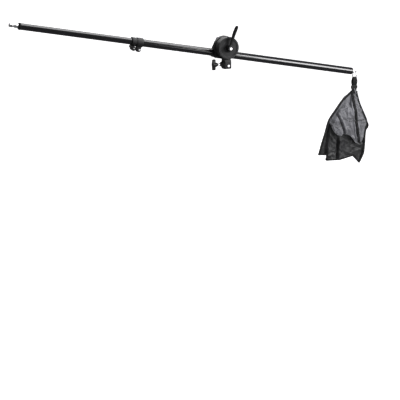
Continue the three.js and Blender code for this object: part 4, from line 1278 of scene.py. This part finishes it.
def rear_folds(x, z):
    """Depth of the folds pressed into the slack rear cloth."""
    gap, share = beside(x, z, FLAP_FOLD)
    beside_lobe = 12 * rise(share, 0, 0.15) * hump(gap, 0, 3.5 if gap > 0 else 8)
    gap, share = beside(x, z, REAR_STRIPE)
    return beside_lobe + 5 * rise(share, 0, 0.3) * hump(gap, 0, 3.5)


def rear_relief(x, z):
    """How far the rear pouch's cloth stands towards the viewer."""
    out = crumple(x, z, 4.2) * 0.4
    gap, share = beside(x, z, REAR_STRIPE)
    ridges = 3.0 * hump(gap, 9, 6) - 7.0 * hump(gap, 0, 4.5) + 2.5 * hump(gap, -10, 6)
    out += rise(share, 0, 0.3) * ridges
    gap, share = beside(x, z, FLAP_FOLD)
    out += rise(share, 0, 0.2) * (4.5 * hump(gap, 9, 6) - 9.0 * hump(gap, -1, 6))
    gap, share = beside(x, z, PALE_FOLD)
    out += 6.5 * hump(gap, 0, 5) * hump(share, 0.5, 0.4)
    gap, share = beside(x, z, TIP_FOLD)
    out += 4.0 * hump(gap, -6, 7) * rise(share, 0, 0.4)
    return out


def resampled(points, count):
    """Evenly spaced points along a smooth line through the given ones."""
    places = [Vector((*point, 0)) if len(point) == 2 else Vector(point) for point in points]
    fine = []
    for k in range(len(places) - 1):
        p0, p1 = places[max(k - 1, 0)], places[k]
        p2, p3 = places[k + 1], places[min(k + 2, len(places) - 1)]
        m1, m2 = (p2 - p0) * 0.35, (p3 - p1) * 0.35
        for i in range(16):
            t = i / 16
            fine.append(
                p1 * (2 * t**3 - 3 * t**2 + 1) + m1 * (t**3 - 2 * t**2 + t)
                + p2 * (3 * t**2 - 2 * t**3) + m2 * (t**3 - t**2)
            )
    places = fine + [places[-1]]
    steps = [0.0]
    for a, b in zip(places, places[1:]):
        steps.append(steps[-1] + (b - a).length)
    out, k = [], 0
    for i in range(count + 1):
        want = steps[-1] * i / count
        while k < len(steps) - 2 and steps[k + 1] < want:
            k += 1
        share = (want - steps[k]) / max(steps[k + 1] - steps[k], 1e-9)
        out.append(places[k].lerp(places[k + 1], min(max(share, 0), 1)))
    return out


def patch(edges, across, down):
    """Places of a cloth grid between a left, a right and a bottom edge, rows from the neck down."""
    left = resampled(edges[0], down)
    right = resampled(edges[1], down)
    foot = resampled(edges[2], across)
    rows = []
    for j in range(down + 1):
        v = j / down
        row = []
        for i in range(across + 1):
            u = i / across
            ruled = left[j].lerp(right[j], u)
            neck = left[0].lerp(right[0], u)
            fall = neck.lerp(foot[i], v)
            corner = neck.lerp(foot[0].lerp(foot[-1], u), v)
            row.append(ruled + fall - corner)
        rows.append(row)
    return rows


def pocket(edges, sheets, across=72, down=80):
    """Two sheets sewn together round an outline; sheets gives the near and the far sheet's Y."""
    rows = patch(edges, across, down)
    bm = bmesh.new()
    bmesh.ops.create_grid(bm, x_segments=across, y_segments=down, size=1)
    column = bm.verts.layers.int.new("column")
    row = bm.verts.layers.int.new("row")
    layer = bm.verts.layers.int.new("sheet")
    cloth = bm.loops.layers.uv.new("cloth")
    for vert in bm.verts:
        vert[column] = round((vert.co.x + 1) / 2 * across)
        vert[row] = round((1 - vert.co.y) / 2 * down)
    for face in bm.faces:
        for loop in face.loops:
            u, v = loop.vert[column] / across, loop.vert[row] / down
            loop[cloth].uv = (u * CLOTH_MAP[0], v * CLOTH_MAP[1])
    copy = bmesh.ops.extrude_face_region(bm, geom=bm.faces[:], use_keep_orig=True)
    for item in copy["geom"]:
        if isinstance(item, bmesh.types.BMVert):
            item[layer] = 1
    for vert in bm.verts:
        place = rows[vert[row]][vert[column]]
        side = min(abs(beside(place.x, place.y, edge)[0]) for edge in edges[:2])
        flat = rise(side, 5, 24) * rise(vert[row] / down, -0.02, 0.14)
        ys = sheets(flat, vert[row] / down, place.x, place.y)
        vert.co = Vector((place.x, ys[vert[layer]], place.y)) * MM
    bmesh.ops.recalc_face_normals(bm, faces=bm.faces[:])
    return bm


def front_sheets(flat, v, x, z):
    """The front pouch: sewn flat at the sides and the neck, loose and standing off at the hem."""
    hem = rise(1 - v, 0, 0.12)
    stand = 1.2 + 6.5 * flat
    swell = 0.5 + 5.5 * flat * math.sqrt(hem)
    near = stand + swell + front_relief(x, z) * flat * (0.45 + 0.55 * hem)
    far = 1.0 + 1.8 * flat
    return (-min(max(near, far + 0.7), BAG_DEPTH), -far)


def rear_sheets(flat, v, x, z):
    """The rear pouch: its own hem is free, its near sheet lies behind the front pouch."""
    hem = rise(1 - v, 0, 0.1)
    free = rise(v, 0.45, 0.75)
    near = 1.4 + 4.5 * flat * free - rear_relief(x, z) * flat * (0.3 + 0.7 * free)
    far = near + 0.8 + (4 + 7.5 * flat) * math.sqrt(hem) * flat + crumple(-x, z, 7.7) * flat * hem
    return (near, far)


def front_room(x, z):
    return -BAG_DEPTH, -1.0


def rear_room(x, z):
    """The rear pouch comes forward only below the front pouch's hem."""
    below = -beside(x, z, FRONT_EDGES[2])[0]
    return -0.7 - 7 * rise(below, 6, 30), 19.5


def settled(bm, room, least=0.7):
    """Keeps the two sheets apart and inside the room they have."""
    column = bm.verts.layers.int["column"]
    row = bm.verts.layers.int["row"]
    layer = bm.verts.layers.int["sheet"]
    pairs = {}
    for vert in bm.verts:
        pairs.setdefault((vert[column], vert[row]), {})[vert[layer]] = vert
    for pair in pairs.values():
        near, far = pair[0], pair[1]
        low, high = room(near.co.x / MM, near.co.z / MM)
        y = min(max(near.co.y / MM, low), high - least)
        near.co.y = y * MM
        far.co.y = min(max(far.co.y / MM, y + least), high) * MM
    return bm


def pressed(bm, folds):
    """Presses folds of a given depth into the near sheet."""
    layer = bm.verts.layers.int["sheet"]
    for vert in bm.verts:
        if vert[layer] == 0:
            vert.co.y += folds(vert.co.x / MM, vert.co.z / MM) * MM
    return bm


def slackened(bm, growth, cap):
    """Lets the cloth grow inside its sewn edges, so that it creases; cap is in millimetres."""
    column = bm.verts.layers.int["column"]
    row = bm.verts.layers.int["row"]
    last = (max(vert[column] for vert in bm.verts), max(vert[row] for vert in bm.verts))
    bm.verts.index_update()
    rim = [
        vert.index for vert in bm.verts
        if vert[column] in (0, last[0]) or vert[row] in (0, last[1])
    ]
    start = [vert.co.copy() for vert in bm.verts]
    blank = held_object(bm, "slack")
    sewn = blank.vertex_groups.new(name="sewn")
    sewn.add(rim, 1.0, "REPLACE")
    cloth = blank.modifiers.new("Slack", "CLOTH")
    how = cloth.settings
    how.quality = 7
    how.mass = 0.0001
    how.tension_stiffness = how.compression_stiffness = 8
    how.shear_stiffness = 4
    how.bending_stiffness = 0.02
    how.vertex_group_mass = "sewn"
    how.shrink_min = -growth
    cloth.point_cache.frame_start = 1
    cloth.point_cache.frame_end = SLACK_FRAMES
    scene = bpy.context.scene
    for frame_number in range(1, SLACK_FRAMES + 1):
        scene.frame_set(frame_number)
    bm = worked(blank)
    scene.frame_set(1)
    bm.verts.ensure_lookup_table()
    for vert, before in zip(bm.verts, start):
        move = vert.co - before
        if move.length > cap * MM:
            vert.co = before + move.normalized() * cap * MM
    return bm


def edge_tape(points, half_width, thickness, inset, y):
    """Binding folded over a cloth edge: flat on Y, its middle set in from the edge."""
    flat = [Vector((point.x, 0, point.y)) for point in points]
    moved = []
    for i, point in enumerate(flat):
        ahead = (flat[min(i + 1, len(flat) - 1)] - flat[max(i - 1, 0)]).normalized()
        across = ahead.cross(Vector((0, 1, 0)))
        if across.dot(BAG_MIDDLE - point) < 0:
            across = -across
        moved.append(point + across * inset + Vector((0, y, 0)))
    widths = [half_width] * len(moved)
    return ribbon(moved, widths, thickness, None, hanging_frame(), flat_on=(0, 1, 0))


def stitches(points, length=2.6, pitch=4.0, radius=0.22):
    """A row of thread stitches along points in millimetres."""
    rows = []
    travelled, due = 0.0, pitch / 2
    for a, b in zip(points, points[1:]):
        a, b = Vector(a), Vector(b)
        step = (b - a).length
        while step > 1e-6 and travelled + step >= due:
            middle = a.lerp(b, (due - travelled) / step)
            ahead = (b - a).normalized() * length / 2
            rows.append(wire([middle - ahead, middle, middle + ahead], radius, sides=5, taper=0.2))
            due += pitch
        travelled += step
    return gathered(rows)


def seated(surface, x, z, lift):
    """The place in millimetres that stands off a cloth's near face by lift."""
    start = HANGING + Vector((x * MM, -0.2, z * MM))
    hit = surface.ray_cast(start, Vector((0, 1, 0)))[0]
    y = (hit.y - HANGING.y) / MM if hit else -2.0
    return Vector((x, y - lift, z))


def bindings():
    """Tape round the rear pouch's sides, and side by side along its foot."""
    half = settings().bag.binding / MM / 2
    tapes = [
        edge_tape(resampled(edge, 90), half, 5.0, half * inset, -0.6)
        for edge, inset in zip(REAR_EDGES, (0.8, 0.75))
    ]
    foot = REAR_EDGES[2]
    for k, (a, b) in enumerate(zip(foot, foot[1:])):
        wide = half * (1.0 if k == len(foot) - 2 else 0.7)
        points = [Vector((*a, 0)).lerp(Vector((*b, 0)), i / 8) for i in range(9)]
        tapes.append(edge_tape(points, wide, 3.6, wide * 0.75, 1.6))
    return gathered(tapes)


def thread_rows(front, rear, line):
    """Stitches down both sides of the band, along both hems and beside the zip."""
    rows = [
        stitches([seated(front, p.x + side, p.y, 1.5) for p in line]) for side in (-5.4, 5.4)
    ]
    hem = resampled(FRONT_EDGES[2], 110)
    rows.append(stitches([seated(front, p.x * 0.985, p.y + 4.5, 0.3) for p in hem]))
    for drop in (-1.2, 1.2):
        seam = [seated(front, -53 + i, -213.6 + drop, 0.3) for i in range(20)]
        rows.append(stitches(seam, 1.9, 2.6))
    foot = resampled(REAR_EDGES[2], 120)
    rows.append(stitches([seated(rear, p.x * 0.99, p.y + 6, 0.3) for p in foot]))
    return gathered(rows)


def zip_teeth(front):
    """The zip's coil as short bars that lean to either side in turn."""
    teeth = []
    for i in range(62):
        spot = seated(front, -31.5 + 1.5 * i, -219.5 - 0.055 * i, 1.1)
        side = 0.5 if i % 2 else -0.5
        bar = [spot + Vector((0, y, side + z)) for y, z in ((0, -1.1), (-0.25, 0), (0, 1.1))]
        teeth.append(wire(bar, 0.42, sides=6, taper=0.15))
    return gathered(teeth)


def zip_slider():
    body = prism(box_of(5.2, 7), 0, 2.0, FACING, corner=1.6)
    softened(body, 0.4, 2, 50)
    tab = prism(box_of(5, 13, 0, -9), 0.9, 2.1, FACING, corner=1.8)
    softened(tab, 0.3, 2, 50)
    tab = cut(tab, [rod(1.4, -2, 4, Matrix.Translation((0, 0, -0.0125)) @ FACING)])
    return gathered([body, tab])


def side_loop():
    points = []
    for i in range(41):
        t = i / 40
        reach = math.sin(math.pi * t)
        y = 5.5 + 1.5 * math.sin(2 * math.pi * t)
        points.append((65.5 + 18.5 * reach**0.75, y, -225.5 - 48 * t + 3 * reach * (0.5 - t)))
    return ribbon(points, [5.0] * 41, 2.0, (0, 1, 0), hanging_frame())


def neck_wrap(y, bulge):
    """Half of the tape round the bag's neck."""
    points = [
        (-15.5 + 31 * i / 16, y + bulge * math.sin(math.pi * i / 16), -91 - 0.12 * i)
        for i in range(17)
    ]
    return ribbon(points, [5.0] * 17, 1.6, (0, 0, 1), hanging_frame())


def neck_tuck():
    """A fold of the front cloth that comes up from the neck."""
    shares = [i / 20 for i in range(21)]
    points = [
        (-1.5 + 9.5 * t, -3.5 - 1.5 * t - 3.6 * math.sin(math.pi * t), -76 - 26 * t)
        for t in shares
    ]
    widths = [2.0 + 0.8 * math.sin(math.pi * t) for t in shares]
    return ribbon(points, widths, 1.2, (1, 0, 0), hanging_frame())


class BOOMARM_OT_bag(bpy.types.Operator):
    """Sew the bag's two slack pouches with their bindings, webbing band, zip and side loop"""

    bl_idname = "boomarm.bag"
    bl_label = "Bag"

    def execute(self, context):
        place = hanging_frame()
        rear = pocket(REAR_EDGES, rear_sheets)
        front = pocket(FRONT_EDGES, front_sheets)
        rear = slackened(rear, growth=0.03, cap=5)
        front = slackened(front, growth=0.06, cap=7)
        rear = settled(pressed(rear, rear_folds), rear_room)
        front = settled(pressed(front, front_folds), front_room)
        rear.transform(place)
        front.transform(place)
        front_surface = BVHTree.FromBMesh(front)
        rear_surface = BVHTree.FromBMesh(rear)
        # The rear pouch wears the nylon darkened as painted shade, the front pouch the nylon
        # lightened as painted light.
        rear_pouch = finished(rear, "rear_pouch_cloth", "nylon_painted_shade", ["rear_pouch"], sharp=75)
        front_pouch = finished(front, "front_pouch_cloth", "nylon", ["front_pouch"], sharp=75)
        finished(bindings(), "edge_binding", "webbing", body="bag", sharp=60)

        line = resampled(BAND_LINE, 70)
        steps = [seated(front_surface, point.x, point.y, 0.7) for point in line]
        band = ribbon(steps, [6.6] * len(steps), 1.3, (1, 0, 0), place)
        finished(band, "front_webbing_band", "webbing", ["front_webbing"], sharp=60)
        thread = thread_rows(front_surface, rear_surface, line)
        thread.transform(place)
        finished(thread, "thread_stitches", "thread", body="bag", sharp=60)

        steps = [
            seated(front_surface, -33 + 96 * i / 64, -219.5 - 3.5 * i / 64, 0.5) for i in range(65)
        ]
        tape = ribbon(steps, [3.0] * len(steps), 0.9, (0, 0, 1), place)
        coil = zip_teeth(front_surface)
        coil.transform(place)
        finished(tape, "zip_tape", "nylon", ["front_zip"], sharp=60)
        finished(coil, "zip_coil", "plastic", body="bag")
        puller = zip_slider()
        puller.transform(place @ Matrix.Translation(seated(front_surface, 57, -223, 1.8) * MM))
        finished(puller, "zip_puller", "chrome", ["zip_pull"])

        finished(side_loop(), "side_webbing_loop", "webbing", ["side_loop"], sharp=60)
        wraps = gathered([neck_wrap(-4.2, -1.4), neck_wrap(4.6, 1.6)])
        finished(wraps, "neck_tape", "webbing", body="bag", sharp=60)
        finished(neck_tuck(), "neck_tuck", "nylon", body="bag", sharp=60)
        return {"FINISHED"}


# Stage: in metres, seen from where the photo was taken

FLOOR_RADIUS, FLOOR_DROP, WALL_HEIGHT = 40, 1.35, 14
CAMERA_PLACE = (-2.1324, -4.3174, 0.791)
CAMERA_TURN = (math.radians(74.222), 0, math.radians(-25))


class BOOMARM_OT_stage(bpy.types.Operator):
    """Set the pale floor with its low wall all round, the soft studio lights and the camera"""

    bl_idname = "boomarm.stage"
    bl_label = "Stage"

    def execute(self, context):
        scene = context.scene
        colour = tuple(settings().finishes.floor)
        bm = bmesh.new()
        bmesh.ops.create_circle(bm, cap_ends=True, segments=96, radius=FLOOR_RADIUS)
        wall = bmesh.ops.extrude_edge_only(bm, edges=bm.edges[:])
        top = [item for item in wall["geom"] if isinstance(item, bmesh.types.BMVert)]
        bmesh.ops.translate(bm, verts=top, vec=(0, 0, WALL_HEIGHT))
        bmesh.ops.translate(bm, verts=bm.verts[:], vec=(0, 0, -FLOOR_DROP))
        mesh = bpy.data.meshes.new("studio_floor")
        bm.to_mesh(mesh)
        bm.free()
        floor = bpy.data.objects.new("studio_floor", mesh)
        scene.collection.objects.link(floor)
        material, tree = material_for(
            "pale_floor", "floor", Roughness=0.9, Emission_Color=(*colour, 1), Emission_Strength=0.8
        )
        patches = mottled(tree, link_noise(tree, 1.2, 3), colour, 0.985, 1)
        mesh.materials.append(linked(material, Base_Color=patches))
        floor.visible_glossy = False
        world = bpy.data.worlds.new("studio")
        world.use_nodes = True
        sky = world.node_tree.nodes["Background"]
        sky.inputs["Color"].default_value = (1, 1, 1, 1)
        sky.inputs["Strength"].default_value = 0.3
        scene.world = world
        strength = settings().stage.light
        for name, place, aim, size, power in (
            ("side_softbox", (1.9, -1.85, 0.72), (0.3, 0.04, 0), (1.15, 1.7), 110),
            ("overhead_softbox", (0.68, -0.3, 1.9), (0.68, -0.301, 0), (1.6, 2.2), 90),
            ("front_card", (0.95, -1.95, -0.24), (0, 0, 0.09), (0.6, 0.6), 6),
            ("back_softbox", (0.1, 2.3, 1.4), (-0.1, 0.04, 0.1), (2.6, 1.0), 36),
        ):
            light = bpy.data.lights.new(name, "AREA")
            light.shape = "RECTANGLE"
            light.size, light.size_y = size
            light.energy = power * strength
            lamp = bpy.data.objects.new(name, light)
            scene.collection.objects.link(lamp)
            lamp.visible_camera = False
            lamp.location = place
            lamp.rotation_euler = (Vector(aim) - Vector(place)).to_track_quat("-Z", "Y").to_euler()
        lens = bpy.data.cameras.new("photo_camera")
        lens.lens = settings().stage.lens
        lens.sensor_width = 36
        lens.clip_end = 200
        camera = bpy.data.objects.new("photo_camera", lens)
        scene.collection.objects.link(camera)
        camera.location = CAMERA_PLACE
        camera.rotation_euler = CAMERA_TURN
        scene.camera = camera
        scene.view_settings.view_transform = "Standard"
        scene.view_settings.gamma = 0.8
        return {"FINISHED"}


OPERATORS = (
    BOOMARM_OT_socket,
    BOOMARM_OT_socket_knob,
    BOOMARM_OT_front_disc,
    BOOMARM_OT_jaws,
    BOOMARM_OT_clamp_bolt,
    BOOMARM_OT_lever,
    BOOMARM_OT_tubes,
    BOOMARM_OT_collar,
    BOOMARM_OT_ends,
    BOOMARM_OT_hook,
    BOOMARM_OT_strap,
    BOOMARM_OT_bag,
    BOOMARM_OT_stage,
)


class BOOMARM_PT_panel(bpy.types.Panel):
    """Lists the pieces of the boom arm in the 3D view's sidebar"""

    bl_idname = "BOOMARM_PT_panel"
    bl_label = "Boom arm"
    bl_space_type = "VIEW_3D"
    bl_region_type = "UI"
    bl_category = "Boom arm"

    def draw(self, context):
        layout = self.layout
        for group in ("head", "boom", "bag", "finishes", "stage"):
            sizes = getattr(context.scene.boom_arm, group)
            box = layout.box()
            box.label(text=group.capitalize())
            for name in sizes.__annotations__:
                box.prop(sizes, name)
        for operator in OPERATORS:
            layout.operator(operator.bl_idname)


CLASSES = (
    HeadSizes,
    BoomSizes,
    BagSizes,
    Finishes,
    StageSizes,
    BoomArmSettings,
    *OPERATORS,
    BOOMARM_PT_panel,
)


def register():
    for cls in CLASSES:
        bpy.utils.register_class(cls)
    bpy.types.Scene.boom_arm = PointerProperty(type=BoomArmSettings)


def unregister():
    del bpy.types.Scene.boom_arm
    for cls in reversed(CLASSES):
        bpy.utils.unregister_class(cls)


def main():
    register()
    mix_finishes()
    for operator in OPERATORS:
        group, name = operator.bl_idname.split(".")
        getattr(getattr(bpy.ops, group), name)()


if __name__ == "__main__":
    main()
